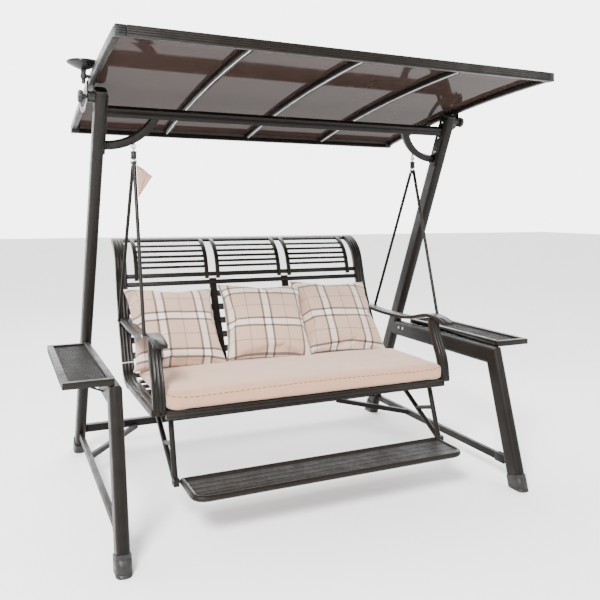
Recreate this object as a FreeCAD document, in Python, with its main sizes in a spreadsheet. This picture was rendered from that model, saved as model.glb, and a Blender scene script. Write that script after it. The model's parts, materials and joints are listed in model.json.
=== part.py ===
import FreeCAD, Part

import math
import os

import Sketcher
from FreeCAD import Placement, Rotation, Vector

# Three-seat glider swing with a tilting canopy, two side tables and a folding footrest.
# Units are millimetres. X runs along the seat, -Y is the front, +Z is up, and the origin is on
# the floor in the middle of the footprint.

doc = FreeCAD.newDocument("glider_swing")
sheet = doc.addObject("Spreadsheet::Sheet", "Sizes")

SIZES = {
    # stand
    "post_spacing": 1820, "post_wide": 50, "post_deep": 88, "post_round": 21, "post_wall": 2,
    "post_foot_y": 745, "post_top_y": -81, "post_top_z": 1818,
    "leg_foot_y": -642, "leg_top_y": -461, "arm_axis_z": 594, "arm_deep": 90,
    "tube_wall": 1.5, "crossbar_tall": 44, "crossbar_deep": 40, "crossbar_z": 1737,
    "low_bar": 38, "low_bar_z": 135, "brace_tall": 34, "brace_wide": 20, "brace_z": 108,
    "foot_lip": 5, "foot_height": 62, "foot_floor": 4, "mount_plate": 6, "mount_wide": 56,
    "arc_radius": 235, "arc_band": 34, "arc_thick": 30, "arc_back": 8, "arc_start_z": 1591,
    "table_wide": 188, "table_long": 783, "table_front_y": -488, "table_top_z": 666,
    "table_bar": 24, "table_tall": 26, "mesh_thick": 4, "stay_radius": 4,
    # hanging gear
    "hang_x": 750, "hang_y": 28, "wire_radius": 3, "eye_radius": 9, "hook_radius": 8.5,
    "eye_drop": 25, "sleeve_radius": 14, "sleeve_long": 36, "rod_radius": 8,
    # canopy
    "canopy_half": 963, "canopy_front_y": -800, "canopy_rear_y": 636, "canopy_front_z": 1927,
    "canopy_rear_z": 1744, "canopy_rise": 30, "side_rail_wide": 25, "side_rail_tall": 35,
    "front_rail_deep": 26, "front_rail_tall": 39, "rear_rail_deep": 38, "rear_rail_tall": 44,
    "panel_thick": 4, "panel_drop": 8, "divider_wide": 30, "divider_tall": 20,
    "pivot_y": -70, "pivot_z": 1790, "stud_radius": 6, "knob_radius": 27, "knob_thick": 20,
    "boss_radius": 24, "hinge_thick": 4,
    # seat
    "back_half": 744, "stile_wide": 58, "stile_thick": 26, "seat_rail_z": 463,
    "cushion_long": 1364, "cushion_deep": 668, "cushion_thick": 69, "cushion_base_z": 477,
    "cushion_front_y": -372, "arm_wide": 60, "arm_thick": 17, "support_wide": 53,
    "support_thick": 24, "slat_wide": 34, "slat_thick": 8, "pillow_wide": 420,
    "pillow_thick": 84, "pillow_corner": 60, "cushion_corner": 45, "rail_wide": 24,
    "rail_thick": 12, "bar_wide": 21, "upright_wide": 40, "thin_slat": 14, "seat_front": 34,
    "seat_front_deep": 30, "seat_slat": 50,
    # footrest
    "footrest_half": 627, "footrest_front_y": -590, "footrest_tube": 12, "footrest_slat": 34,
    "bracket_radius": 12, "tie_radius": 10, "pin_radius": 5,
    # small round parts
    "crossbar_round": 6, "ring_radius": 13, "eye_shank": 5, "collar_radius": 12, "bolt_radius": 7,
    "lamp_neck": 8, "lamp_radius": 69,
}

# Sizes that follow from others, as spreadsheet formulas.
DERIVED = {
    "shoe_wide": "post_wide + 2 * foot_lip",
    "shoe_deep": "arm_deep + 2 * foot_lip",
    "shoe_round": "post_round + foot_lip",
    "knee_tall": "brace_tall - 8",
    "stud_hole": "stud_radius + 0.6",
    "shank_radius": "wire_radius - 0.6",
    "pin_hole": "pin_radius + 0.4",
}


def fill_sheet():
    formulas = {alias: "=" + formula for alias, formula in DERIVED.items()}
    for row, (alias, value) in enumerate({**SIZES, **formulas}.items(), start=1):
        sheet.set(f"A{row}", alias)
        sheet.set(f"B{row}", str(value))
        sheet.setAlias(f"B{row}", alias)
    doc.recompute()


def size(alias):
    return float(getattr(sheet, alias))


def bind(obj, prop, expression):
    obj.setExpression(prop, expression)


def cell(alias):
    return f"Sizes.{alias}"


# ---- geometry helpers -------------------------------------------------------------------------

def plane_of(body, role):
    return next(f for f in body.Origin.OriginFeatures if f.Role == role)


def new_body(name, role):
    body = doc.addObject("PartDesign::Body", name)
    sketch = body.newObject("Sketcher::SketchObject", name + "_sketch")
    sketch.AttachmentSupport = (plane_of(body, role), [""])
    sketch.MapMode = "FlatFace"
    return body, sketch


def add_rectangle(sketch, wide, deep, wide_expr, deep_expr, tag):
    """A rectangle centred on the sketch origin whose sides follow two expressions."""
    first = sketch.GeometryCount
    corners = [(-wide / 2, -deep / 2), (wide / 2, -deep / 2), (wide / 2, deep / 2), (-wide / 2, deep / 2)]
    for a, b in zip(corners, corners[1:] + corners[:1]):
        sketch.addGeometry(Part.LineSegment(Vector(*a, 0), Vector(*b, 0)), False)
    for side in range(4):
        follower = first + (side + 1) % 4
        sketch.addConstraint(Sketcher.Constraint("Coincident", first + side, 2, follower, 1))
    sketch.addConstraint(Sketcher.Constraint("Horizontal", first))
    sketch.addConstraint(Sketcher.Constraint("Horizontal", first + 2))
    sketch.addConstraint(Sketcher.Constraint("Vertical", first + 1))
    sketch.addConstraint(Sketcher.Constraint("Vertical", first + 3))
    sketch.addConstraint(Sketcher.Constraint("Symmetric", first, 1, first + 2, 1, -1, 1))
    for kind, line, value, expression in (
        ("DistanceX", first, wide, wide_expr),
        ("DistanceY", first + 1, deep, deep_expr),
    ):
        index = sketch.addConstraint(Sketcher.Constraint(kind, line, 1, line, 2, value))
        name = f"{kind}_{tag}"
        sketch.renameConstraint(index, name)
        bind(sketch, f".Constraints.{name}", expression)


def aim(start, end, side=Vector(1, 0, 0)):
    """Placement whose local Z runs from start to end and whose local X stays nearest to side."""
    along = (end - start).normalize()
    return Placement(start, Rotation(side, Vector(0, 0, 0), along, "ZXY"))


def round_edges(body, feature, name, radius_expr, chosen):
    """Fillets the long edges of a pad whose middle point passes the test."""
    doc.recompute()
    names = []
    for number, edge in enumerate(feature.Shape.Edges, start=1):
        ends = [v.Point for v in edge.Vertexes]
        upright = len(ends) == 2 and abs(ends[0].z - ends[1].z) > 0.9 * edge.Length
        if upright and chosen(ends[0]):
            names.append(f"Edge{number}")
    fillet = body.newObject("PartDesign::Fillet", name)
    fillet.Base = (feature, names)
    bind(fillet, "Radius", radius_expr)
    return fillet


def bar(name, start, end, wide, deep, corner=None, wall=None, side=Vector(1, 0, 0)):
    """A straight bar or tube from start to end: wide and deep are cells, wide lies along side."""
    body, sketch = new_body(name, "XY_Plane")
    add_rectangle(sketch, size(wide), size(deep), cell(wide), cell(deep), "outer")
    if wall:
        double = 2 * size(wall)
        inner = [f"{cell(a)} - 2 * {cell(wall)}" for a in (wide, deep)]
        add_rectangle(sketch, size(wide) - double, size(deep) - double, *inner, "inner")
    pad = body.newObject("PartDesign::Pad", name + "_pad")
    pad.Profile = sketch
    pad.Length = (end - start).Length
    if corner:
        outer_x = size(wide) / 2
        feature = pad
        if wall:
            feature = round_edges(body, pad, name + "_inside", f"{cell(corner)} - {cell(wall)}",
                                  lambda p: abs(p.x) < outer_x - 0.5)
        round_edges(body, feature, name + "_outside", cell(corner),
                    lambda p: abs(p.x) > outer_x - 0.5)
    body.Placement = aim(start, end, side)
    return body


def sheet_part(name, edges, thick_expr, role="YZ_Plane", placement=Placement()):
    """A closed outline in an origin plane, padded by an expression."""
    body, sketch = new_body(name, role)
    for edge in edges:
        sketch.addGeometry(edge, False)
    pad = body.newObject("PartDesign::Pad", name + "_pad")
    pad.Profile = sketch
    bind(pad, "Length", thick_expr)
    body.Placement = placement
    return body


def polygon(points):
    corners = [Vector(a, b, 0) for a, b in points]
    return [Part.LineSegment(a, b) for a, b in zip(corners, corners[1:] + corners[:1])]


def ribbon(points, thick):
    """Outline of a band of even thickness along a smooth curve through the points."""
    middle = Part.BSplineCurve()
    middle.interpolate([Vector(a, b, 0) for a, b in points])
    low, high = middle.FirstParameter, middle.LastParameter
    sides = ([], [])
    steps = 3 * (len(points) - 1)
    for step in range(steps + 1):
        at = low + (high - low) * step / steps
        along = middle.tangent(at)[0]
        normal = Vector(-along.y, along.x, 0).normalize()
        for points_side, sign in zip(sides, (1, -1)):
            points_side.append(middle.value(at) + normal * (sign * thick / 2))
    curves = []
    for points_side in sides:
        curve = Part.BSplineCurve()
        curve.interpolate(points_side)
        curves.append(curve)
    starts = Part.LineSegment(sides[0][0], sides[1][0])
    ends = Part.LineSegment(sides[0][-1], sides[1][-1])
    return [curves[0], ends, curves[1], starts]


def cylinder(name, start, end, radius):
    item = doc.addObject("Part::Cylinder", name)
    bind(item, "Radius", cell(radius))
    item.Height = (end - start).Length
    item.Placement = aim(start, end, Vector(0.3, 0.9, 0.2))
    return item


def cone(name, start, height, low_radius, high_radius):
    item = doc.addObject("Part::Cone", name)
    item.Radius1 = low_radius
    item.Radius2 = high_radius
    item.Height = height
    item.Placement.Base = start
    return item


def ball(name, centre, radius):
    item = doc.addObject("Part::Sphere", name)
    bind(item, "Radius", cell(radius))
    item.Placement.Base = centre
    return item


def torus(name, centre, axis, ring, wire):
    item = doc.addObject("Part::Torus", name)
    bind(item, "Radius1", cell(ring))
    bind(item, "Radius2", cell(wire))
    item.Placement = Placement(centre, Rotation(Vector(0, 0, 1), axis))
    return item


def box(name, low, high):
    item = doc.addObject("Part::Box", name)
    item.Length, item.Width, item.Height = (b - a for a, b in zip(low, high))
    item.Placement.Base = Vector(*low)
    return item


def combine(kind, prop, name, items):
    item = doc.addObject(kind, name)
    setattr(item, prop, items)
    return item


def fuse(name, items):
    return combine("Part::MultiFuse", "Shapes", name, items)


def group(name, items):
    return combine("Part::Compound", "Links", name, items)


def cut(name, base, tool):
    item = doc.addObject("Part::Cut", name)
    item.Base = base
    item.Tool = tool
    return item


def trim(name, base, point, normal):
    """Removes everything of base that lies beyond the plane, on the side of its normal."""
    span = 300
    tool = box(name + "_tool", (-span / 2, -span / 2, 0), (span / 2, span / 2, span))
    turn = Rotation(Vector(0, 0, 1), normal)
    tool.Placement = Placement(point + turn.multVec(tool.Placement.Base), turn)
    return cut(name, base, tool)


def bent_rod(name, points, radius):
    """A round rod through the points, with a ball at each bend."""
    pieces = []
    for number, (a, b) in enumerate(zip(points, points[1:])):
        pieces.append(cylinder(f"{name}_run{number}", a, b, radius))
    for number, point in enumerate(points[1:-1]):
        pieces.append(ball(f"{name}_bend{number}", point, radius))
    return fuse(name, pieces) if len(pieces) > 1 else pieces[0]


BOLT_TALL = 4


def bolt_head(name, point, axis):
    """A low domed bolt head that stands on a face at the point."""
    return cylinder(name, point, point + axis * BOLT_TALL, "bolt_radius")


SIDES = (("left", -1), ("right", 1))
nodes = {}


def keep(node, item):
    item.Label = node
    nodes[node] = item
    return item


fill_sheet()

# ---- stand ------------------------------------------------------------------------------------

POST_X = size("post_spacing") / 2
LEAN = math.atan2(size("post_foot_y") - size("post_top_y"), size("post_top_z"))
LEAN_TURN = Rotation(Vector(1, 0, 0), math.degrees(LEAN))
INNER_X = POST_X - size("post_wide") / 2 - size("mount_plate")


def post_y(z):
    return size("post_foot_y") - z * math.tan(LEAN)


def leg_y(z):
    slope = (size("leg_top_y") - size("leg_foot_y")) / size("arm_axis_z")
    return size("leg_foot_y") + slope * z


def on_post(x, z):
    """Point on a post's axis at a height."""
    return Vector(x, post_y(z), z)


def on_leg(x, z):
    return Vector(x, leg_y(z), z)


def lean_frame(x, z, forward=0):
    """Placement in the leaning plane of the posts: local Z climbs along the post."""
    turned = LEAN_TURN.multVec(Vector(0, forward, 0))
    return Placement(Vector(x, post_y(z), z) + turned, LEAN_TURN)


DOWN = Vector(0, 0, -1)


BELOW_FLOOR = -30


def make_post(name, side):
    x = side * POST_X
    blank = bar(name + "_tube", on_post(x, BELOW_FLOOR), on_post(x, size("post_top_z")), "post_wide",
                "post_deep", "post_round", "post_wall")
    foot = Vector(x, post_y(0), size("foot_floor"))
    return keep(name + "_post", trim(name + "_post_trim", blank, foot, DOWN))


MITRE_REACH = 80


def make_leg(name, side):
    """A front leg and the table arm on top of it, mitred where they meet."""
    x = side * POST_X
    corner = Vector(x, size("leg_top_y"), size("arm_axis_z"))
    toward_foot = (on_leg(x, 0) - corner).normalize()
    toward_post = Vector(0, 1, 0)
    mitre = (toward_post - toward_foot).normalize()
    leg_blank = bar(name + "_leg_tube", on_leg(x, BELOW_FLOOR), corner - toward_foot * MITRE_REACH,
                    "post_wide", "arm_deep", "post_round", "post_wall")
    foot = Vector(x, leg_y(0), size("foot_floor"))
    leg = trim(name + "_leg_mitre", trim(name + "_leg_foot", leg_blank, foot, DOWN), corner, mitre)
    arm_blank = bar(name + "_arm_tube", corner - toward_post * MITRE_REACH,
                    on_post(x, size("arm_axis_z")), "post_wide", "arm_deep", "post_round", "post_wall")
    arm_mitred = trim(name + "_arm_mitre", arm_blank, corner, mitre * -1)
    around_arm = (size("arm_axis_z") - 300, size("arm_axis_z") + 300)
    solid_post = bar(name + "_arm_cope_tool", on_post(x, around_arm[0]), on_post(x, around_arm[1]),
                     "post_wide", "post_deep", "post_round")
    keep(name + "_front_leg", leg)
    keep(name + "_table_arm", cut(name + "_arm_coped", arm_mitred, solid_post))


def make_foot(name, axis_point, deep):
    """A plastic shoe round the end of a tube, flat on the floor."""
    low = axis_point(BELOW_FLOOR)
    high = axis_point(size("foot_height"))
    above = axis_point(size("foot_height") + 20)
    blank = bar(name, low, high, "shoe_wide", "shoe_deep", "shoe_round")
    shoe = trim(name + "_flat", blank, axis_point(0), DOWN)
    core = bar(name + "_core", low, above, "post_wide", deep, "post_round")
    pocket = trim(name + "_pocket", core, axis_point(0) + Vector(0, 0, size("foot_floor")), DOWN)
    return cut(name + "_shoe", shoe, pocket)


CAP_TALL = 5


def make_stand():
    front_feet = []
    rear_feet = []
    caps = []
    up = LEAN_TURN.multVec(Vector(0, 0, 1))
    for name, side in SIDES:
        x = side * POST_X
        make_post(name, side)
        make_leg(name, side)
        rear_feet.append(make_foot(name + "_rear_foot", lambda z, x=x: on_post(x, z), "post_deep"))
        front_feet.append(make_foot(name + "_front_foot", lambda z, x=x: on_leg(x, z), "arm_deep"))
        top = on_post(x, size("post_top_z"))
        caps.append(bar(name + "_post_cap", top, top + up * CAP_TALL, "post_wide", "post_deep",
                        "post_round"))
    keep("post_caps", group("post_cap_group", caps))
    keep("rear_feet", group("rear_feet_group", rear_feet))
    keep("front_feet", group("front_feet_group", front_feet))


def solid_tube(name, axis_point, deep):
    """A solid in the place of the lower end of a hollow post or leg, to cut braces against."""
    return bar(name, axis_point(BELOW_FLOOR), axis_point(300), "post_wide", deep, "post_round")


KNEE_START_Y = 300
KNEE_END_X = 622
FLANGE_THICK = 3
FLANGE_LONG = 68
FLANGE_HALF_TALL = 21


def make_braces():
    """Low bars: one across the rear, one along each side and a knee brace in each rear corner."""
    reach = POST_X - size("post_wide") / 2
    bar_z = size("low_bar_z")
    keep("rear_crossbar", bar("rear_bar", on_post(-reach, bar_z), on_post(reach, bar_z), "low_bar",
                              "low_bar", None, "tube_wall", Vector(0, 0, 1)))
    braces = []
    knees = []
    for name, side in SIDES:
        braces.append(make_side_brace(name, side * POST_X))
        braces.extend(make_flanges(name, side * POST_X))
        knees.append(make_knee(name, side))
    keep("side_braces", group("side_brace_group", braces))
    keep("knee_braces", group("knee_brace_group", knees))


def make_side_brace(name, x):
    z = size("brace_z")
    blank = bar(name + "_brace_bar", on_post(x, z), on_leg(x, z), "brace_wide", "brace_tall", None,
                "tube_wall")
    ends = group(name + "_brace_ends", [
        solid_tube(name + "_brace_rear", lambda h: on_post(x, h), "post_deep"),
        solid_tube(name + "_brace_front", lambda h: on_leg(x, h), "arm_deep"),
    ])
    return cut(name + "_side_brace", blank, ends)


def make_flanges(name, x):
    """Two plates on the faces of a side brace, close to the front leg."""
    z = size("brace_z")
    low_y = leg_y(z) + size("arm_deep") / 2 + 9
    plates = []
    for lip in (-1, 1):
        face = x + lip * size("brace_wide") / 2
        low_x = min(face, face + lip * FLANGE_THICK)
        plates.append(box(f"{name}_flange{lip}", (low_x, low_y, z - FLANGE_HALF_TALL),
                          (low_x + FLANGE_THICK, low_y + FLANGE_LONG, z + FLANGE_HALF_TALL)))
    return plates


def make_knee(name, side):
    z = size("brace_z")
    inner_face = side * (POST_X - size("brace_wide") / 2)
    rear_face = post_y(size("low_bar_z")) - size("low_bar") / 2
    start = Vector(inner_face, KNEE_START_Y, z + 4)
    end = Vector(side * KNEE_END_X, rear_face, z + 10)
    past = (end - start).normalize() * 40
    blank = bar(name + "_knee_bar", start - past, end + past, "brace_wide", "knee_tall")
    beyond_brace = trim(name + "_knee_side", blank, start, Vector(side, 0, 0))
    return trim(name + "_knee_rear", beyond_brace, end, Vector(0, 1, 0))


def make_top():
    """Crossbar, mount plates on the posts, curved brackets and the eyebolts under them."""
    crossbar_z = size("crossbar_z")
    climb = LEAN_TURN.multVec(Vector(0, 0, 1))
    keep("top_crossbar", bar("top_bar", on_post(-INNER_X, crossbar_z), on_post(INNER_X, crossbar_z),
                             "crossbar_tall", "crossbar_deep", "crossbar_round", "tube_wall", climb))
    arc_z = size("arc_start_z")
    climb_to_bar = (crossbar_z - arc_z) / math.cos(LEAN) - size("crossbar_tall") / 2
    plates = []
    arcs = []
    eyes = []
    for name, side in SIDES:
        plates.append(make_mount_plate(name, side))
        arc = make_arc(name, side, climb_to_bar)
        arcs.append(arc)
        eyes.append(make_eye(name, side, arc))
    keep("arc_brackets", group("arc_bracket_group", arcs))
    keep("mount_plates", group("mount_plate_group", plates))
    keep("eyebolts", group("eyebolt_group", eyes))


def make_mount_plate(name, side):
    """A flat plate on the inner face of a post, from below the bracket to above the crossbar."""
    low_x, high_x = sorted((side * INNER_X, side * (POST_X - size("post_wide") / 2)))
    low = (size("arc_start_z") - 30) / math.cos(LEAN)
    high = (size("pivot_z") + 15) / math.cos(LEAN)
    half = size("mount_wide") / 2
    plate = box(name + "_plate", (low_x, -half, low), (high_x, half, high))
    plate.Placement = lean_frame(0, 0).multiply(plate.Placement)
    return plate


def make_arc(name, side, climb_to_bar):
    """A quarter-like arc in the leaning plane, from the post plate up to the crossbar's underside."""
    half = size("arc_band") / 2
    thick = size("arc_thick")
    radius = size("arc_radius")
    centre = Vector(0, radius, 0)

    def on_arc(r, height):
        drop = centre.y - height
        return Vector(-side * math.sqrt(r * r - drop * drop), height, 0)

    outer_end = on_arc(radius + half, climb_to_bar)
    inner_end = on_arc(radius - half, climb_to_bar)
    arcs = []
    for r, end in ((radius + half, outer_end), (radius - half, inner_end)):
        start = Vector(0, radius - r, 0)
        bisect = (start + end) * 0.5 - centre
        middle = centre + bisect.normalize() * r
        arcs.append(Part.Arc(start, middle, end))
    edges = [arcs[0], Part.LineSegment(outer_end, inner_end), arcs[1],
             Part.LineSegment(Vector(0, half, 0), Vector(0, -half, 0))]
    place = lean_frame(side * INNER_X, size("arc_start_z"), thick / 2 + size("arc_back"))
    return sheet_part(name + "_arc", edges, cell("arc_thick"), "XZ_Plane", place)


def swing_axis_z():
    """Height of the wire that the hook hangs on, the axis that the seat swings about."""
    radius = size("arc_radius")
    reach = INNER_X - size("hang_x")
    rise = radius - math.sqrt((radius + size("arc_band") / 2) ** 2 - reach ** 2)
    underside = size("arc_start_z") + rise * math.cos(LEAN)
    return underside - size("eye_drop")


def make_eye(name, side, arc):
    x = side * size("hang_x")
    y = size("hang_y")
    axis_z = swing_axis_z()
    ring = torus(name + "_eye_ring", Vector(x, y, axis_z + size("eye_radius")), Vector(0, 1, 0),
                 "eye_radius", "wire_radius")
    shank_low = axis_z + 2 * size("eye_radius")
    shank = cylinder(name + "_eye_shank", Vector(x, y, shank_low), Vector(x, y, shank_low + 30),
                     "eye_shank")
    return cut(name + "_eye", fuse(name + "_eye_body", [ring, shank]), arc)


TABLE_GAP = 4
MESH_DROP = 7
STAY_INSET = 150
STAY_SLANT = 60


def make_tables():
    top = size("table_top_z")
    rim = size("table_bar")
    front = size("table_front_y")
    rear = front + size("table_long")
    near = POST_X + TABLE_GAP
    far = near + size("table_wide")
    low = top - size("table_tall")
    mesh_top = top - MESH_DROP
    bars = []
    meshes = []
    stays = []
    for name, side in SIDES:
        spans = [
            ((near, front), (far, front + rim)),
            ((near, rear - rim), (far, rear)),
            ((near, front + rim), (near + rim, rear - rim)),
            ((far - rim, front + rim), (far, rear - rim)),
        ]
        for number, (start, end) in enumerate(spans):
            xs = sorted((side * start[0], side * end[0]))
            bars.append(box(f"{name}_table_bar{number}", (xs[0], start[1], low), (xs[1], end[1], top)))
        xs = sorted((side * (near + rim), side * (far - rim)))
        meshes.append(box(name + "_mesh", (xs[0], front + rim, mesh_top - size("mesh_thick")),
                          (xs[1], rear - rim, mesh_top)))
        for number, y in enumerate((front + STAY_INSET, rear - STAY_INSET)):
            stay_top = Vector(side * (far - rim / 2), y + STAY_SLANT, low)
            stay_low = Vector(side * (POST_X + size("post_wide") / 2), y, size("arm_axis_z") - 10)
            stays.append(cylinder(f"{name}_stay{number}", stay_low, stay_top, "stay_radius"))
    keep("table_meshes", group("table_mesh_group", meshes))
    keep("table_frames", group("table_frame_group", bars))
    tables = [nodes[n] for n in ("table_frames", "left_table_arm", "right_table_arm")]
    keep("table_stays", cut("table_stay_cut", group("table_stay_group", stays),
                            group("stay_clearance", tables)))


def make_bosses():
    bosses = []
    for name, side in SIDES:
        near = Vector(side * (POST_X + size("post_wide") / 2), size("pivot_y"), size("pivot_z"))
        far = Vector(side * (size("canopy_half") - 1), size("pivot_y"), size("pivot_z"))
        outer = cylinder(name + "_boss_outer", near, far, "boss_radius")
        hole = cylinder(name + "_boss_hole", near, far, "stud_hole")
        bosses.append(cut(name + "_boss", outer, hole))
    keep("pivot_bosses", group("pivot_boss_group", bosses))


ARM_BOLT_Y = (330, 372)
PLATE_BOLT_Z = (1785, 1706, 1632)


def make_frame_bolts():
    bolts = []
    for name, side in SIDES:
        inward = Vector(-side, 0, 0)
        arm_face = side * (POST_X - size("post_wide") / 2)
        for number, y in enumerate(ARM_BOLT_Y):
            at = Vector(arm_face, y, size("arm_axis_z") + 8)
            bolts.append(bolt_head(f"{name}_arm_bolt{number}", at, inward))
        for number, z in enumerate(PLATE_BOLT_Z):
            bolts.append(bolt_head(f"{name}_plate_bolt{number}", on_post(side * INNER_X, z), inward))
    keep("frame_bolts", group("frame_bolt_group", bolts))


COLLAR_LONG = 12


def make_knobs():
    """A grip with a collar and a stud on each side, which clamp the canopy at its tilt."""
    y, z = size("pivot_y"), size("pivot_z")
    stud_x = POST_X + size("post_wide") / 2 + 2
    grip_x = size("canopy_half") + 3 + size("hinge_thick") + COLLAR_LONG
    for name, side in SIDES:
        inner = Vector(side * stud_x, y, z)
        grip_low = Vector(side * grip_x, y, z)
        grip_high = Vector(side * (grip_x + size("knob_thick")), y, z)
        stud = cylinder(name + "_stud", inner, grip_low, "stud_radius")
        grip = cylinder(name + "_grip", grip_low, grip_high, "knob_radius")
        collar = cylinder(name + "_collar", Vector(side * (grip_x - COLLAR_LONG), y, z), grip_low,
                          "collar_radius")
        keep(name + "_tilt_knob", fuse(name + "_tilt_knob_fuse", [stud, collar, grip]))


# ---- canopy -----------------------------------------------------------------------------------

FRONT_Y = size("canopy_front_y")
REAR_Y = size("canopy_rear_y")
FRONT_Z = size("canopy_front_z")
REAR_Z = size("canopy_rear_z")
CORNER = 40
PANEL_GAP = 0.5


def arch_circle():
    """Centre and radius of the arc that the top of the canopy follows from front to rear."""
    front = Vector(FRONT_Y, FRONT_Z, 0)
    rear = Vector(REAR_Y, REAR_Z, 0)
    chord = rear - front
    rise = size("canopy_rise")
    radius = (chord.Length ** 2 / 4 + rise ** 2) / (2 * rise)
    upward = Vector(-chord.y, chord.x, 0).normalize()
    centre = (front + rear) * 0.5 + upward * (rise - radius)
    return centre, radius


def arch_z(y, drop=0):
    centre, radius = arch_circle()
    r = radius - drop
    return centre.y + math.sqrt(r * r - (y - centre.x) ** 2)


def arch_band(y_from, y_to, drop_from, drop_to):
    """Outline between two depths below the top of the arch, cut by upright ends."""
    centre, radius = arch_circle()
    arcs = []
    ends = []
    for drop in (drop_from, drop_to):
        points = [Vector(y, arch_z(y, drop), 0) for y in (y_from, (y_from + y_to) / 2, y_to)]
        arcs.append(Part.Arc(*points))
        ends.append((points[0], points[2]))
    return [arcs[0], Part.LineSegment(ends[0][1], ends[1][1]), arcs[1],
            Part.LineSegment(ends[0][0], ends[1][0])]


def make_canopy():
    half = size("canopy_half")
    rail_wide = size("side_rail_wide")
    front_in = FRONT_Y + size("front_rail_deep")
    rear_in = REAR_Y - size("rear_rail_deep")
    rails = []
    for name, side in SIDES:
        x = half - rail_wide if side > 0 else -half
        band = arch_band(FRONT_Y + CORNER, REAR_Y - CORNER, 0, size("side_rail_tall"))
        place = Placement(Vector(x, 0, 0), Rotation())
        rails.append(sheet_part(f"{name}_rail", band, cell("side_rail_wide"), "YZ_Plane", place))
    keep("canopy_side_rails", group("side_rail_group", rails))
    front_top = arch_z(FRONT_Y + size("front_rail_deep") / 2)
    front_low = front_top - size("front_rail_tall")
    keep("canopy_front_rail", box("front_rail", (-half + CORNER, FRONT_Y, front_low),
                                  (half - CORNER, front_in, front_top)))
    rear_top = arch_z(REAR_Y - size("rear_rail_deep") / 2)
    keep("canopy_rear_rail", box("rear_rail", (-half + CORNER, rear_in, rear_top - size("rear_rail_tall")),
                                 (half - CORNER, REAR_Y, rear_top)))
    caps = []
    for name, side in SIDES:
        for end, low_y, high_y, top, tall in (
            ("front", FRONT_Y, FRONT_Y + CORNER, front_top, size("front_rail_tall")),
            ("rear", REAR_Y - CORNER, REAR_Y, rear_top, size("rear_rail_tall")),
        ):
            xs = sorted((side * half, side * (half - CORNER)))
            corner = box(f"{name}_{end}_corner", (xs[0], low_y, top - tall), (xs[1], high_y, top))
            caps.append(corner)
    keep("canopy_corner_caps", group("corner_cap_group", caps))
    make_roof(half - rail_wide, front_in, rear_in, caps)


def make_roof(clear_half, front_in, rear_in, caps):
    drop = size("panel_drop")
    thick = size("panel_thick")
    pitch = clear_half / 2
    dividers = []
    for number in (-1, 0, 1):
        x = number * pitch - size("divider_wide") / 2
        web = arch_band(front_in + PANEL_GAP, rear_in - PANEL_GAP, drop + thick,
                        drop + thick + size("divider_tall"))
        place = Placement(Vector(x, 0, 0), Rotation())
        dividers.append(sheet_part(f"divider{number}", web, cell("divider_wide"), "YZ_Plane", place))
    keep("canopy_dividers", group("divider_group", dividers))
    panels = []
    for number in range(4):
        x = -clear_half + number * pitch
        band = arch_band(front_in, rear_in, drop, drop + thick)
        place = Placement(Vector(x + PANEL_GAP, 0, 0), Rotation())
        panels.append(sheet_part(f"panel{number}", band, f"{pitch - 2 * PANEL_GAP} mm", "YZ_Plane", place))
    corners = group("panel_clearance", caps)
    keep("canopy_panels", cut("panel_cut", group("panel_group", panels), corners))


HINGE_FIT = 0.2
TAB_HALF_LOW = 24
TAB_HALF_HIGH = 20
TAB_BELOW = 26
STAY_WIDE = 24
# Centre line of the curved stay, as (y, z) from the pivot.
STAY_LINE = [(0, -14), (75, -38), (165, -34), (262, 4)]


def make_hinges():
    """A plate on each side rail with the pivot hole, and a curved stay that runs back to the rail."""
    plates = []
    bolts = []
    y, z = size("pivot_y"), size("pivot_z")
    tab_top = arch_z(y) - 8
    outline = polygon([(y - TAB_HALF_LOW, z - TAB_BELOW), (y + TAB_HALF_LOW, z - TAB_BELOW),
                       (y + TAB_HALF_HIGH, tab_top), (y - TAB_HALF_HIGH, tab_top)])
    stay_points = [(y + dy, z + dz) for dy, dz in STAY_LINE]
    inner = size("canopy_half") + HINGE_FIT
    outer = inner + size("hinge_thick")
    for name, side in SIDES:
        place = Placement(Vector(inner if side > 0 else -outer, 0, 0), Rotation())
        tab = sheet_part(name + "_hinge_tab", outline, cell("hinge_thick"), "YZ_Plane", place)
        stay = sheet_part(name + "_hinge_stay", ribbon(stay_points, STAY_WIDE), cell("hinge_thick"),
                          "YZ_Plane", place)
        hole = cylinder(name + "_hinge_hole", Vector(side * (inner - 1), y, z),
                        Vector(side * (outer + 8), y, z), "stud_hole")
        plates.append(cut(name + "_hinge", fuse(name + "_hinge_plate", [tab, stay]), hole))
        for number, offset in enumerate((-11, 11)):
            at = Vector(side * outer, y + offset, arch_z(y) - 22)
            bolts.append(bolt_head(f"{name}_hinge_bolt{number}", at, Vector(side, 0, 0)))
    keep("canopy_hinge_plates", group("hinge_plate_group", plates))
    keep("hinge_bolts", group("hinge_bolt_group", bolts))


LAMP_OUT = 22
LAMP_Y = -125
LAMP_STEM = (1834, 1900)
LAMP_BOWL_Z = 1893
LAMP_DISC_Z = (1917, 1930)


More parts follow.
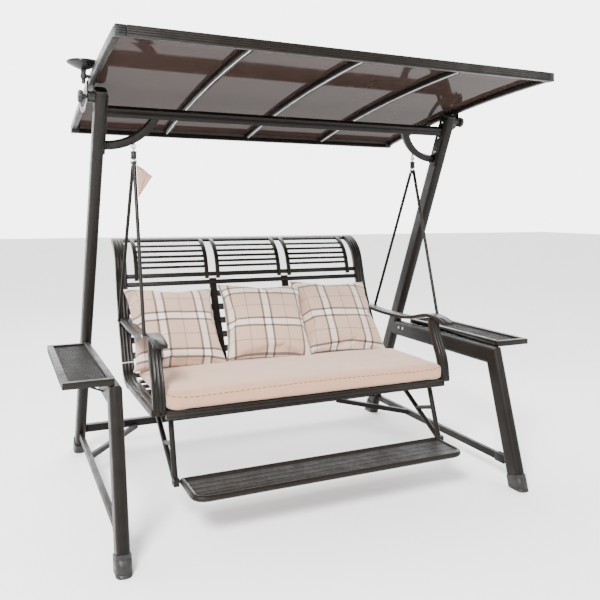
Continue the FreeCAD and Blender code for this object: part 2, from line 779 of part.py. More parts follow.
def make_lamp():
    """Small solar lamp: a shallow bowl on a tapered stem, clipped to the left side rail's outer face."""
    rail_face = -size("canopy_half")
    x = rail_face - LAMP_OUT
    stem_low, stem_high = LAMP_STEM
    stem = cone("lamp_post", Vector(x, LAMP_Y, stem_low), stem_high - stem_low, size("lamp_neck"), 11.5)
    clip = box("lamp_clip", (x - 2, LAMP_Y - 9, 1856), (rail_face, LAMP_Y + 9, 1876))
    bowl = cone("lamp_bowl", Vector(x, LAMP_Y, LAMP_BOWL_Z), LAMP_DISC_Z[0] - LAMP_BOWL_Z, 18,
                size("lamp_radius") - 4)
    disc = cylinder("lamp_disc", Vector(x, LAMP_Y, LAMP_DISC_Z[0]), Vector(x, LAMP_Y, LAMP_DISC_Z[1]),
                    "lamp_radius")
    head = keep("lamp_head", fuse("lamp_head_fuse", [bowl, disc]))
    keep("lamp_stem", cut("lamp_stem_cut", fuse("lamp_stem_fuse", [clip, stem]), head))


# ---- hanging seat -----------------------------------------------------------------------------

HANG_Y = size("hang_y")
STILE_INNER = size("back_half") - size("stile_wide")
RAIL_Z = size("seat_rail_z")
# Centre line of the side frame seen from the side, as (y, z): from the rolled top of the back
# down the curved stile, round the seat's rear corner and forward along the seat.
STILE_LINE = [(738, 1136), (668, 1108), (612, 1052), (583, 985), (566, 925), (535, 835), (495, 745),
              (440, 645), (385, 545), (342, 482), (290, 458), (200, 456)]
SEAT_LINE = [(200, 456), (-100, 461), (-330, 466)]
ARM_LINE = [(455, 738), (360, 731), (265, 726), (110, 725), (-60, 738), (-190, 767), (-270, 768),
            (-362, 744)]
# Where the back's three sections meet, and half the slots beside those joints and at the ends.
SECTION = 217
HALF_SLOT = 32
OUTER_SLOT = 50
# The back's cross rails, as (y, z, width cell, lean in degrees); y None follows the stile.
BACK_RAILS = [(733, 1134, "slat_wide", 66), (None, 948, "rail_wide", None),
              (None, 905, "rail_wide", None), (352, 470, "rail_wide", 60)]
UPPER_SLATS = (1103, 28)
LOWER_SLATS = (842, 70)
SLAT_ROWS = 5
SUPPORT_LINE = [(-236, 756), (-241, 700), (-268, 640), (-300, 580), (-318, 520), (-323, 468)]


def stile_point(z):
    """Point of the side frame's centre line at a height, by straight interpolation."""
    for (y0, z0), (y1, z1) in zip(STILE_LINE, STILE_LINE[1:]):
        if z1 <= z <= z0:
            share = (z - z0) / (z1 - z0)
            return y0 + (y1 - y0) * share
    return STILE_LINE[-1][0]


def stile_lean(z):
    """Angle of the stile from upright at a height, in degrees."""
    dy = stile_point(z + 12) - stile_point(z - 12)
    return math.degrees(math.atan2(dy, 24))


def across(name, x_low, x_high, y, z, wide_alias, thick_alias, lean):
    """A flat bar along X: its wide side stands at an angle from upright, in degrees."""
    climb = Rotation(Vector(1, 0, 0), -lean).multVec(Vector(0, 0, 1))
    return bar(name, Vector(x_low, y, z), Vector(x_high, y, z), wide_alias, thick_alias, None, None, climb)


def make_side_frames():
    thick = size("stile_thick")
    rails = []
    for name, side in SIDES:
        x = STILE_INNER if side > 0 else -size("back_half")
        place = Placement(Vector(x, 0, 0), Rotation())
        back = sheet_part(name + "_stile", ribbon(STILE_LINE, thick), cell("stile_wide"), "YZ_Plane", place)
        keep(name + "_back_stile", back)
        rails.append(sheet_part(name + "_seat_rail", ribbon(SEAT_LINE, thick), cell("stile_wide"),
                                "YZ_Plane", place))
    keep("seat_side_rails", group("seat_side_rail_group", rails))


ARM_GAP = 0.3
SUPPORT_INSET = 4


def make_armrests():
    supports = []
    outer = size("hang_x") - size("rod_radius") - ARM_GAP
    arm_outline = ribbon(ARM_LINE, size("arm_thick"))
    support_outline = ribbon(SUPPORT_LINE, size("support_thick"))
    support_outer = outer - SUPPORT_INSET
    for name, side in SIDES:
        arm_x = outer - size("arm_wide") if side > 0 else -outer
        flat = sheet_part(name + "_arm_flat", arm_outline, cell("arm_wide"), "YZ_Plane",
                          Placement(Vector(arm_x, 0, 0), Rotation()))
        keep(name + "_armrest", cut(name + "_armrest_cut", flat, nodes[name + "_back_stile"]))
        support_x = support_outer - size("support_wide") if side > 0 else -support_outer
        upright = sheet_part(name + "_support", support_outline, cell("support_wide"), "YZ_Plane",
                             Placement(Vector(support_x, 0, 0), Rotation()))
        tools = group(name + "_support_clearance", [nodes[name + "_armrest"], nodes["seat_side_rails"]])
        supports.append(cut(name + "_arm_support", upright, tools))
    keep("arm_supports", group("arm_support_group", supports))


def make_back():
    """Rails, uprights and slats of the back, between the two stiles."""
    rails = []
    for number, (y, z, wide, lean) in enumerate(BACK_RAILS):
        if y is None:
            y, lean = stile_point(z), stile_lean(z)
        rails.append(across(f"back_rail{number}", -STILE_INNER, STILE_INNER, y, z, wide, "rail_thick",
                            lean))
    keep("back_top_rail", rails[0])
    keep("back_rails", group("back_rail_group", rails[1:]))
    thick = size("rail_thick")
    curve = [(y - 2, z) for y, z in STILE_LINE[:5]]
    outer_bar = STILE_INNER - OUTER_SLOT
    pairs = [-outer_bar, -SECTION - HALF_SLOT, -SECTION + HALF_SLOT,
             SECTION - HALF_SLOT, SECTION + HALF_SLOT, outer_bar]
    bars = []
    for number, x in enumerate(pairs):
        place = Placement(Vector(x - size("bar_wide") / 2, 0, 0), Rotation())
        bars.append(sheet_part(f"back_bar{number}", ribbon(curve, thick), cell("bar_wide"),
                               "YZ_Plane", place))
    uprights = []
    for number, x in enumerate((-SECTION, SECTION)):
        place = Placement(Vector(x - size("upright_wide") / 2, 0, 0), Rotation())
        uprights.append(sheet_part(f"back_upright{number}", ribbon(STILE_LINE[4:10], thick),
                                   cell("upright_wide"), "YZ_Plane", place))
    rail_group = group("back_rail_clearance", rails)
    keep("back_curved_bars", cut("back_bar_cut", group("back_bar_group", bars), rail_group))
    keep("back_uprights", cut("back_upright_cut", group("back_upright_group", uprights), rail_group))
    make_slats(pairs)


def slat_row(name, left, right, top_pitch, wide):
    """Slats one above the other between two edges, each leaning with the stile."""
    top, pitch = top_pitch
    slats = []
    for number in range(SLAT_ROWS):
        z = top - pitch * number
        slats.append(across(f"{name}{left:.0f}_{number}", left, right, stile_point(z), z, wide,
                            "slat_thick", stile_lean(z)))
    return slats


def make_slats(pairs):
    reach = size("bar_wide") / 2
    upper = []
    for left, right in zip(pairs[::2], pairs[1::2]):
        upper.extend(slat_row("upper_slat", left + reach, right - reach, UPPER_SLATS, "thin_slat"))
    keep("back_upper_slats", group("upper_slat_group", upper))
    half = size("upright_wide") / 2
    edges = (-STILE_INNER, -SECTION - half, -SECTION + half, SECTION - half, SECTION + half, STILE_INNER)
    lower = []
    for left, right in zip(edges[::2], edges[1::2]):
        lower.extend(slat_row("lower_slat", left, right, LOWER_SLATS, "slat_wide"))
    keep("back_lower_slats", group("lower_slat_group", lower))


SEAT_FRONT_Y = -350
SEAT_SLATS = 6
SEAT_SLAT_START = -280
SEAT_SLAT_PITCH = 100


def make_seat():
    """Front rail and slats of the seat, and the cushion that lies on them."""
    keep("seat_front_rail", across("front_rail_bar", -STILE_INNER - 2, STILE_INNER + 2, SEAT_FRONT_Y,
                                   RAIL_Z - 4, "seat_front", "seat_front_deep", 0))
    slats = []
    for number in range(SEAT_SLATS):
        y = SEAT_SLAT_START + SEAT_SLAT_PITCH * number
        slats.append(across(f"seat_slat{number}", -STILE_INNER, STILE_INNER, y, RAIL_Z + 6, "slat_thick",
                            "seat_slat", 0))
    keep("seat_slats", group("seat_slat_group", slats))
    long, deep = size("cushion_long"), size("cushion_deep")
    body, sketch = new_body("cushion_body", "XY_Plane")
    add_rectangle(sketch, long, deep, cell("cushion_long"), cell("cushion_deep"), "outer")
    pad = body.newObject("PartDesign::Pad", "cushion_pad")
    pad.Profile = sketch
    bind(pad, "Length", cell("cushion_thick"))
    round_edges(body, pad, "cushion_corners", cell("cushion_corner"), lambda p: True)
    middle = Vector(0, size("cushion_front_y") + deep / 2, size("cushion_base_z"))
    body.Placement = Placement(middle, Rotation())
    keep("seat_cushion", body)
    make_pillows()


PILLOW_LEAN = 45
PILLOW_Z = 726
# Each pillow's side, place along the seat, distance back and turn towards the middle in degrees.
PILLOWS = (("left", -466, 340, 4), ("middle", 0, 345, -4), ("right", 447, 345, 0))


def make_pillows():
    """Three square scatter cushions that lean on the back, as rounded slabs."""
    half_thick = size("pillow_thick") / 2
    for name, x, y, turn in PILLOWS:
        facing = Rotation(Vector(0, 0, 1), turn)
        lean = facing.multiply(Rotation(Vector(1, 0, 0), 90 - PILLOW_LEAN))
        outward = lean.multVec(Vector(0, 0, half_thick))
        centre = Vector(x, y, PILLOW_Z)
        slab = bar(name + "_pillow_slab", centre - outward, centre + outward, "pillow_wide",
                   "pillow_wide", "pillow_corner", None, lean.multVec(Vector(1, 0, 0)))
        keep(name + "_pillow", slab)


REAR_PIN = (425, 740)
FRONT_PIN = (-212, 768)
APEX_HALF = 13


def make_hangers():
    """On each side a hook and ring in one, a spring in its sleeve and a bent rod down to the arms."""
    rod = size("rod_radius")
    wire = size("wire_radius")
    sleeves = []
    links = []
    axis_z = swing_axis_z()
    hook_low = axis_z - size("hook_radius")
    sleeve_top = hook_low - wire + 1
    sleeve_low = sleeve_top - size("sleeve_long")
    ring_z = sleeve_low - size("ring_radius") - wire + 1
    apex = ring_z - size("ring_radius") + wire + rod + 0.3
    for name, side in SIDES:
        x = side * size("hang_x")

        def above(z, x=x):
            return Vector(x, HANG_Y, z)

        hook = torus(name + "_hook", above(axis_z), Vector(1, 0, 0), "hook_radius", "wire_radius")
        shank = cylinder(name + "_link_shank", above(ring_z + size("ring_radius")), above(hook_low),
                         "shank_radius")
        ring = torus(name + "_link_ring", above(ring_z), Vector(0, 1, 0), "ring_radius", "wire_radius")
        link = fuse(name + "_link_fuse", [hook, shank, ring])
        links.append(link)
        body = cylinder(name + "_sleeve_body", above(sleeve_low), above(sleeve_top), "sleeve_radius")
        sleeves.append(cut(name + "_sleeve", body, link))
        points = [Vector(x, *REAR_PIN), Vector(x, HANG_Y + APEX_HALF, apex),
                  Vector(x, HANG_Y - APEX_HALF, apex), Vector(x, *FRONT_PIN)]
        keep(name + "_hanger", bent_rod(name + "_hanger_rod", points, "rod_radius"))
    keep("hook_links", group("hook_link_group", links))
    keep("spring_sleeves", group("sleeve_group", sleeves))
    make_pennant(Vector(-size("hang_x"), HANG_Y - APEX_HALF, apex))


PENNANT_THICK = 3
# Corners of the folded cloth, as (across, along) the front rod from its top.
PENNANT = [(9.5, -14), (45, -30), (79, -62), (9.5, -166)]


def make_pennant(apex):
    """The folded cloth tied along the top of the left hanger's front rod."""
    run = Vector(apex.x, *FRONT_PIN) - apex
    slope = Rotation(Vector(1, 0, 0), math.degrees(math.atan2(run.y, -run.z)))
    base = apex + slope.multVec(Vector(0, PENNANT_THICK / 2, 0))
    keep("rod_pennant", sheet_part("pennant", polygon(PENNANT), f"{PENNANT_THICK} mm", "XZ_Plane",
                                   Placement(base, slope)))


def make_seat_bolts():
    bolts = []
    for name, side in SIDES:
        outer = side * (size("hang_x") + size("rod_radius"))
        for number, pin in enumerate((REAR_PIN, FRONT_PIN)):
            bolts.append(bolt_head(f"{name}_hanger_bolt{number}", Vector(outer, *pin), Vector(side, 0, 0)))
    keep("hanger_bolts", group("hanger_bolt_group", bolts))


# ---- footrest ---------------------------------------------------------------------------------

BRACKET_X = 653
LUG_HALF = 11
FOOT_PIVOT = (-378, 190)


# Where the rear and front rods meet the seat, and the ends of the tie between them, as (y, z).
ROD_TOP_Y = (98, -275)
TIE_ENDS = ((-316, 330), (-177, 292))
PLATE_SPAN_Y = (-300, 124)


def make_brackets():
    """A frame of rods under each end of the seat, down to the lug that the footrest hinges on."""
    heel_y, heel_z = FOOT_PIVOT
    under = RAIL_Z - size("stile_thick") / 2 - 6
    brackets = []
    for name, side in SIDES:
        x = side * BRACKET_X
        lug = box(name + "_lug", (x - LUG_HALF, heel_y - 14, heel_z - 16),
                  (x + LUG_HALF, heel_y + 28, heel_z + 16))
        rear = cylinder(name + "_rear_rod", Vector(x, heel_y + 18, heel_z), Vector(x, ROD_TOP_Y[0], under),
                        "bracket_radius")
        front = cylinder(name + "_front_rod", Vector(x, heel_y + 14, heel_z + 4),
                         Vector(x, ROD_TOP_Y[1], under), "bracket_radius")
        tie = cylinder(name + "_tie", Vector(x, *TIE_ENDS[0]), Vector(x, *TIE_ENDS[1]), "tie_radius")
        plate = box(name + "_bracket_plate", (x - 20, PLATE_SPAN_Y[0], under - 3),
                    (x + 20, PLATE_SPAN_Y[1], under))
        bracket = fuse(name + "_bracket_fuse", [lug, rear, front, tie, plate])
        hole_start = Vector(x - 20, heel_y, heel_z)
        hole = cylinder(name + "_lug_hole", hole_start, hole_start + Vector(40, 0, 0), "pin_hole")
        brackets.append(cut(name + "_bracket", bracket, hole))
    keep("footrest_brackets", group("footrest_bracket_group", brackets))


FOOTREST_CORNER = 50
CORNER_STEPS = 4
FOOT_SLATS = 4
FOOT_SLAT_PITCH = 41


def make_footrest():
    """A bent tube with a cross tube at the hinge, a pin at each end and flat slats between."""
    half = size("footrest_half")
    hinge_y, z = FOOT_PIVOT
    y_front = size("footrest_front_y")
    corner = FOOTREST_CORNER
    points = [Vector(-half, hinge_y, z)]
    for centre_x, start in ((-half + corner, 180), (half - corner, 270)):
        for step in range(CORNER_STEPS + 1):
            angle = math.radians(start + 90 * step / CORNER_STEPS)
            points.append(Vector(centre_x + corner * math.cos(angle),
                                 y_front + corner + corner * math.sin(angle), z))
    points.append(Vector(half, hinge_y, z))
    outline = bent_rod("footrest_tube_rod", points, "footrest_tube")
    cross = cylinder("footrest_cross_tube", points[0], points[-1], "footrest_tube")
    reach = BRACKET_X + LUG_HALF + 2
    pin = cylinder("footrest_pin", Vector(-reach, hinge_y, z), Vector(reach, hinge_y, z), "pin_radius")
    keep("footrest_frame", fuse("footrest_frame_fuse", [outline, cross, pin]))
    slats = []
    first = y_front + 33
    for number in range(FOOT_SLATS):
        y = first + FOOT_SLAT_PITCH * number
        slats.append(across(f"footrest_slat{number}", -half + 15, half - 15, y, z + 4, "slat_thick",
                            "footrest_slat", 0))
    slat_group = group("footrest_slat_group", slats)
    keep("footrest_slats", cut("footrest_slat_cut", slat_group, nodes["footrest_frame"]))


# ---- build, check and write -------------------------------------------------------------------

def check_document():
    doc.recompute()
    for item in doc.Objects:
        bad = {"Invalid", "Error"} & set(item.State)
        if bad:
            raise RuntimeError(f"{item.Name} ({item.Label}) is {bad}")
    for node, item in nodes.items():
        if item.Shape.isNull() or not item.Shape.isValid():
            raise RuntimeError(f"{node} has no valid shape")
        if not item.Shape.Solids:
            raise RuntimeError(f"{node} has no solid")


def write_parts():
    os.makedirs("parts", exist_ok=True)
    for node, item in nodes.items():
        item.Shape.exportStep(os.path.join("parts", node + ".step"))
        print(node, len(item.Shape.Solids), "solid(s)", round(item.Shape.Volume / 1000), "cm3")


make_stand()
make_braces()
make_top()
make_tables()
make_bosses()
make_frame_bolts()
make_knobs()
make_canopy()
make_hinges()
make_lamp()
make_side_frames()
make_armrests()
make_back()
make_seat()
make_hangers()
make_seat_bolts()
make_brackets()
make_footrest()
check_document()
write_parts()
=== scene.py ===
import json
import math

import bmesh
import bpy
from mathutils import Matrix, Vector, noise
from mathutils.bvhtree import BVHTree


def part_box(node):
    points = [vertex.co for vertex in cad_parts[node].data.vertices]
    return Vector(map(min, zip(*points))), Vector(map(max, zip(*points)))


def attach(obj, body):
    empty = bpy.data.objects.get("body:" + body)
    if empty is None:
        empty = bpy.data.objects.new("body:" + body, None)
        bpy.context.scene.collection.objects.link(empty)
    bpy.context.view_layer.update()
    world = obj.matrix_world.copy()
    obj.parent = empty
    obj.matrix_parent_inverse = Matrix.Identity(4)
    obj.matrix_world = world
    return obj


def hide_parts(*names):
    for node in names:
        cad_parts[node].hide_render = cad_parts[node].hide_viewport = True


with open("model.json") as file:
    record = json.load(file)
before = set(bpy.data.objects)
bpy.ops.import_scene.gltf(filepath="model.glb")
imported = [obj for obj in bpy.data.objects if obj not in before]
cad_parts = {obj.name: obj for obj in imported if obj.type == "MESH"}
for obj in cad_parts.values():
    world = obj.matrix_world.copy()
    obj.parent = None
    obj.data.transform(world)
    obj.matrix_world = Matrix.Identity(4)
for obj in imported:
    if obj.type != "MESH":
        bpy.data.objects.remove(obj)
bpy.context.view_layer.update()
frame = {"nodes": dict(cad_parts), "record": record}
nodes = frame["nodes"]
SIDES = (("left", -1), ("right", 1))


# ---- camera, floor and light --------------------------------------------------------------------

CAMERA_PLACE = (-1.3286, -3.1486, 1.3051)
CAMERA_YAW, CAMERA_PITCH, CAMERA_ROLL = 24.69, 0.72, 0.18
CAMERA_LENS = 41.18
SENSOR_WIDE = 36
CAMERA_SHIFT = (-0.0157, -0.135)
FLOOR_HALF = 30
FLOOR_TONE, FLOOR_ROUGHNESS = 0.93, 0.9
# The studio is bright behind the object and dim elsewhere: its strength, the share left in the dim
# part, and how far towards +Y a direction points where it starts and ends to brighten.
WORLD_STRENGTH = 5.2
ROOM_TONE = 0.15
BRIGHTEN_FROM, BRIGHTEN_TO = -0.1, 0.6
# Each light's name, place, target, size in metres and power in watts.
LIGHTS = (
    ("key", (-3.2, -4.2, 4.6), (0, 0, 0.7), 1.7, 1150),
    ("fill", (4.2, -3.4, 2.4), (0, 0, 0.7), 2.4, 90),
    ("rim", (1.0, 4.5, 3.8), (0, 0, 1.0), 3.0, 120),
)


def make_camera():
    data = bpy.data.cameras.new("camera")
    data.lens = CAMERA_LENS
    data.sensor_width = SENSOR_WIDE
    data.shift_x, data.shift_y = CAMERA_SHIFT
    camera = bpy.data.objects.new("camera", data)
    turn = Matrix.Rotation(math.radians(-CAMERA_YAW), 4, "Z") @ Matrix.Rotation(
        math.radians(90 - CAMERA_PITCH), 4, "X") @ Matrix.Rotation(math.radians(CAMERA_ROLL), 4, "Z")
    camera.matrix_world = Matrix.Translation(CAMERA_PLACE) @ turn
    bpy.context.scene.collection.objects.link(camera)
    bpy.context.scene.camera = camera


def make_floor():
    mesh = bpy.data.meshes.new("floor")
    corners = [(x * FLOOR_HALF, y * FLOOR_HALF, 0) for x, y in ((-1, -1), (1, -1), (1, 1), (-1, 1))]
    mesh.from_pydata(corners, [], [(0, 1, 2, 3)])
    floor = bpy.data.objects.new("floor", mesh)
    bpy.context.scene.collection.objects.link(floor)
    material = bpy.data.materials.new("floor")
    material.use_nodes = True
    shader = material.node_tree.nodes["Principled BSDF"]
    shader.inputs["Base Color"].default_value = (FLOOR_TONE, FLOOR_TONE, FLOOR_TONE, 1)
    shader.inputs["Roughness"].default_value = FLOOR_ROUGHNESS
    mesh.materials.append(material)


def add_area(name, place, target, size, power):
    data = bpy.data.lights.new(name, "AREA")
    data.size = size
    data.energy = power
    lamp = bpy.data.objects.new(name, data)
    lamp.location = place
    lamp.rotation_euler = (Vector(target) - Vector(place)).to_track_quat("-Z", "Y").to_euler()
    bpy.context.scene.collection.objects.link(lamp)


def make_lights():
    world = bpy.data.worlds.new("studio")
    world.use_nodes = True
    background = world.node_tree.nodes["Background"]
    background.inputs["Strength"].default_value = WORLD_STRENGTH
    tree = world.node_tree
    direction = tree.nodes.new("ShaderNodeTexCoord")
    parts = tree.nodes.new("ShaderNodeSeparateXYZ")
    tree.links.new(direction.outputs["Generated"], parts.inputs[0])
    ramp = tree.nodes.new("ShaderNodeMapRange")
    ramp.interpolation_type = "SMOOTHSTEP"
    for key, number in (("From Min", BRIGHTEN_FROM), ("From Max", BRIGHTEN_TO), ("To Min", ROOM_TONE),
                        ("To Max", 1.0)):
        ramp.inputs[key].default_value = number
    tree.links.new(parts.outputs[1], ramp.inputs["Value"])
    tree.links.new(ramp.outputs["Result"], background.inputs["Color"])
    bpy.context.scene.world = world
    for light in LIGHTS:
        add_area(*light)


make_camera()
make_floor()
make_lights()


# ---- materials ----------------------------------------------------------------------------------

class Shader:
    """A Principled material with small helpers for procedural inputs."""

    def __init__(self, name, color, roughness, **values):
        self.material = bpy.data.materials.new(name)
        self.material.use_nodes = True
        self.tree = self.material.node_tree
        self.main = self.tree.nodes["Principled BSDF"]
        self.main.inputs["Base Color"].default_value = (*color, 1)
        self.main.inputs["Roughness"].default_value = roughness
        for key, value in values.items():
            self.main.inputs[key.replace("_", " ")].default_value = value
        self.bump_out = None

    def node(self, kind, **settings):
        made = self.tree.nodes.new(kind)
        for key, value in settings.items():
            if key in made.inputs:
                made.inputs[key].default_value = value
            else:
                setattr(made, key, value)
        return made

    def link(self, source, target):
        self.tree.links.new(source, target)

    def position(self):
        """Coordinates fixed to the piece, the same whatever way it moves."""
        return self.node("ShaderNodeTexCoord").outputs["Object"]

    def noise(self, scale, detail, roughness=0.5):
        made = self.node("ShaderNodeTexNoise", Scale=scale, Detail=detail, Roughness=roughness)
        self.link(self.position(), made.inputs["Vector"])
        return made.outputs["Fac"]

    def ramp(self, value, low, high, first, second):
        made = self.node("ShaderNodeMapRange", clamp=True)
        for key, number in (("From Min", low), ("From Max", high), ("To Min", first), ("To Max", second)):
            made.inputs[key].default_value = number
        self.link(value, made.inputs["Value"])
        return made.outputs["Result"]

    def mix(self, factor, first, second):
        """A colour between two, each a colour or the output of a node."""
        made = self.node("ShaderNodeMix", data_type="RGBA")
        self.link(factor, made.inputs["Factor"])
        for source, target in ((first, made.inputs[6]), (second, made.inputs[7])):
            if isinstance(source, tuple):
                target.default_value = (*source, 1)
            else:
                self.link(source, target)
        return made.outputs[2]

    def math(self, operation, first, second=None):
        made = self.node("ShaderNodeMath", operation=operation)
        for source, target in ((first, made.inputs[0]), (second, made.inputs[1])):
            if source is None:
                continue
            if isinstance(source, (int, float)):
                target.default_value = source
            else:
                self.link(source, target)
        return made.outputs[0]

    def bump(self, height, distance, strength=1.0):
        made = self.node("ShaderNodeBump", Strength=strength, Distance=distance)
        self.link(height, made.inputs["Height"])
        if self.bump_out:
            self.link(self.bump_out, made.inputs["Normal"])
        self.bump_out = made.outputs["Normal"]
        self.link(self.bump_out, self.main.inputs["Normal"])


def powder_coat(name, color, worn, roughness=0.42):
    """Satin powder coat: fine orange peel, slow colour drift and faint rubbed patches."""
    shader = Shader(name, color, roughness, Specular_IOR_Level=0.17)
    drift = shader.ramp(shader.noise(6, 3), 0.35, 0.7, 0.0, 0.55)
    rubbed = shader.ramp(shader.noise(38, 6, 0.7), 0.62, 0.8, 0.0, 0.5)
    tint = shader.mix(drift, color, tuple(c * 1.35 for c in color))
    shader.link(shader.mix(rubbed, tint, worn), shader.main.inputs["Base Color"])
    rough = shader.ramp(shader.noise(22, 4), 0.3, 0.75, roughness - 0.07, roughness + 0.12)
    shader.link(rough, shader.main.inputs["Roughness"])
    shader.bump(shader.noise(900, 2), 0.00025, 0.35)
    return shader.material


def plastic(name, color, roughness):
    """Moulded plastic with a fine grain and a little dust in scattered patches."""
    shader = Shader(name, color, roughness, Specular_IOR_Level=0.3)
    dust = shader.ramp(shader.noise(55, 5, 0.65), 0.5, 0.85, 0.0, 0.35)
    lighter = tuple(min(1, c * 1.8 + 0.02) for c in color)
    shader.link(shader.mix(dust, color, lighter), shader.main.inputs["Base Color"])
    shader.link(shader.ramp(shader.noise(30, 3), 0.3, 0.7, roughness - 0.08, roughness + 0.1),
                shader.main.inputs["Roughness"])
    shader.bump(shader.noise(1400, 2), 0.0002, 0.4)
    return shader.material


def panel(name, color):
    """Glossy tinted sheet: a faint drift in tone and very slight waviness in its shine."""
    shader = Shader(name, color, 0.05, Specular_IOR_Level=0.012)
    drift = shader.ramp(shader.noise(2.2, 3), 0.3, 0.7, 0.0, 1.0)
    shader.link(shader.mix(drift, tuple(c * 0.88 for c in color), tuple(c * 1.12 for c in color)),
                shader.main.inputs["Base Color"])
    dust = shader.ramp(shader.noise(30, 6, 0.7), 0.45, 0.9, 0.035, 0.16)
    shader.link(dust, shader.main.inputs["Roughness"])
    shader.bump(shader.noise(3.5, 1), 0.003, 0.12)
    return shader.material


def zinc(name):
    """Plated steel with a cloudy tone and uneven shine."""
    shader = Shader(name, (0.62, 0.61, 0.59), 0.32, Metallic=1.0)
    cloudy = shader.ramp(shader.noise(120, 4), 0.3, 0.7, 0.0, 1.0)
    shader.link(shader.mix(cloudy, (0.5, 0.49, 0.47), (0.7, 0.69, 0.67)), shader.main.inputs["Base Color"])
    shader.link(shader.ramp(shader.noise(260, 3), 0.3, 0.7, 0.24, 0.45), shader.main.inputs["Roughness"])
    return shader.material


def woven(shader, vector, pitch):
    """Height of a plain weave: two sets of threads that cross over and under."""
    parts = shader.node("ShaderNodeSeparateXYZ")
    shader.link(vector, parts.inputs[0])
    turns = 2 * math.pi / pitch
    side = shader.math("SINE", shader.math("MULTIPLY", parts.outputs[0], turns))
    depth = shader.math("ADD", parts.outputs[1], parts.outputs[2])
    along = shader.math("SINE", shader.math("MULTIPLY", depth, turns))
    return shader.math("MULTIPLY", side, along)


def fabric(name, color, pitch):
    """Woven cloth: threads, slubs, soft creases and a little sheen."""
    shader = Shader(name, color, 0.88, Sheen_Weight=0.35, Sheen_Roughness=0.55, Specular_IOR_Level=0.2)
    cloudy = shader.ramp(shader.noise(9, 3), 0.3, 0.7, 0.0, 1.0)
    slub = shader.ramp(shader.noise(420, 3, 0.6), 0.35, 0.75, 0.0, 0.3)
    ground = shader.mix(cloudy, tuple(c * 0.94 for c in color), tuple(min(1, c * 1.04) for c in color))
    shader.link(shader.mix(slub, ground, tuple(c * 0.8 for c in color)), shader.main.inputs["Base Color"])
    shader.bump(shader.noise(14, 4, 0.55), 0.006, 0.35)
    shader.bump(woven(shader, shader.position(), pitch), 0.0003, 0.6)
    return shader.material


# The plaid's repeat, and half the width of its white bands, dark lines and thin lines, in metres.
PLAID_REPEAT = 0.2
BAND_HALF, LINE_HALF, THIN_HALF = 0.0155, 0.0055, 0.0017
# How far the print is moved on each pillow, across and up.
PLAID_SHIFTS = (("left", (-0.02, 0.076)), ("middle", (0.106, -0.055)), ("right", (-0.016, -0.086)))


def plaid(name, shift):
    """Cream cloth with white bands between dark lines, and a thin line in each plain square."""
    cream, white, dark = (0.5, 0.335, 0.245), (0.84, 0.74, 0.67), (0.012, 0.008, 0.01)
    shader = Shader(name, cream, 0.88, Sheen_Weight=0.35, Sheen_Roughness=0.55, Specular_IOR_Level=0.2)
    cloth = shader.node("ShaderNodeUVMap", uv_map="cloth").outputs[0]
    parts = shader.node("ShaderNodeSeparateXYZ")
    shader.link(cloth, parts.inputs[0])
    bands, lines, thins = [], [], []
    for axis, offset in zip((0, 1), shift):
        moved = shader.math("ADD", parts.outputs[axis], PLAID_REPEAT * 5 + offset)
        turn = shader.math("FRACT", shader.math("DIVIDE", moved, PLAID_REPEAT))
        away = shader.math("MULTIPLY", shader.math("ABSOLUTE", shader.math("SUBTRACT", turn, 0.5)),
                           PLAID_REPEAT)
        bands.append(shader.math("LESS_THAN", away, BAND_HALF))
        beside = shader.math("ABSOLUTE", shader.math("SUBTRACT", away, BAND_HALF + LINE_HALF))
        lines.append(shader.math("LESS_THAN", beside, LINE_HALF))
        middle_gap = shader.math("ABSOLUTE", shader.math("SUBTRACT", away, PLAID_REPEAT / 2))
        thins.append(shader.math("LESS_THAN", middle_gap, THIN_HALF))
    whiteness = shader.math("MULTIPLY", shader.math("ADD", *bands), 0.5)
    darkness = shader.math("MULTIPLY", shader.math("ADD", *lines), 0.5)
    thinness = shader.math("MULTIPLY", shader.math("MAXIMUM", *thins), 0.6)
    color = shader.mix(whiteness, cream, white)
    color = shader.mix(shader.math("POWER", darkness, 0.4), color, dark)
    color = shader.mix(thinness, color, dark)
    slub = shader.ramp(shader.noise(420, 3, 0.6), 0.35, 0.75, 0.0, 0.16)
    shader.link(shader.mix(slub, color, tuple(c * 0.75 for c in cream)), shader.main.inputs["Base Color"])
    shader.bump(shader.noise(16, 4, 0.55), 0.008, 0.4)
    shader.bump(woven(shader, cloth, 0.0012), 0.0003, 0.6)
    return shader.material


BRONZE = (0.006, 0.0046, 0.0036)
MATERIALS = {
    "frame": powder_coat("bronze powder coat", BRONZE, (0.018, 0.0155, 0.0135)),
    "extrusion": powder_coat("bronze extrusion", (0.008, 0.0063, 0.005), (0.022, 0.0185, 0.0155), 0.36),
    "mesh": powder_coat("grey mesh coat", (0.013, 0.012, 0.011), (0.03, 0.028, 0.026), 0.45),
    "zinc": zinc("plated steel"),
    "black_plastic": plastic("black plastic", (0.008, 0.0078, 0.0075), 0.42),
    "foot_plastic": plastic("grey foot plastic", (0.014, 0.0132, 0.0124), 0.5),
    "panel": panel("tinted panel", (0.03, 0.0195, 0.0165)),
    "lamp": plastic("lamp plastic", (0.006, 0.006, 0.0066), 0.24),
    "cushion": fabric("beige canvas", (0.47, 0.262, 0.162), 0.0016),
    "plaid": fabric("plaid ground", (0.74, 0.63, 0.54), 0.0012),
    "pennant": fabric("pennant cloth", (0.42, 0.27, 0.2), 0.0014),
}
MATERIALS["thread"] = fabric("white thread", (0.62, 0.58, 0.53), 0.0008)
MATERIALS["piping"] = fabric("red piping", (0.36, 0.035, 0.05), 0.0008)
for name, shift in PLAID_SHIFTS:
    MATERIALS["plaid_" + name] = plaid("plaid " + name, shift)
MATERIALS["stitch"] = fabric("brown stitching", (0.05, 0.028, 0.018), 0.0008)
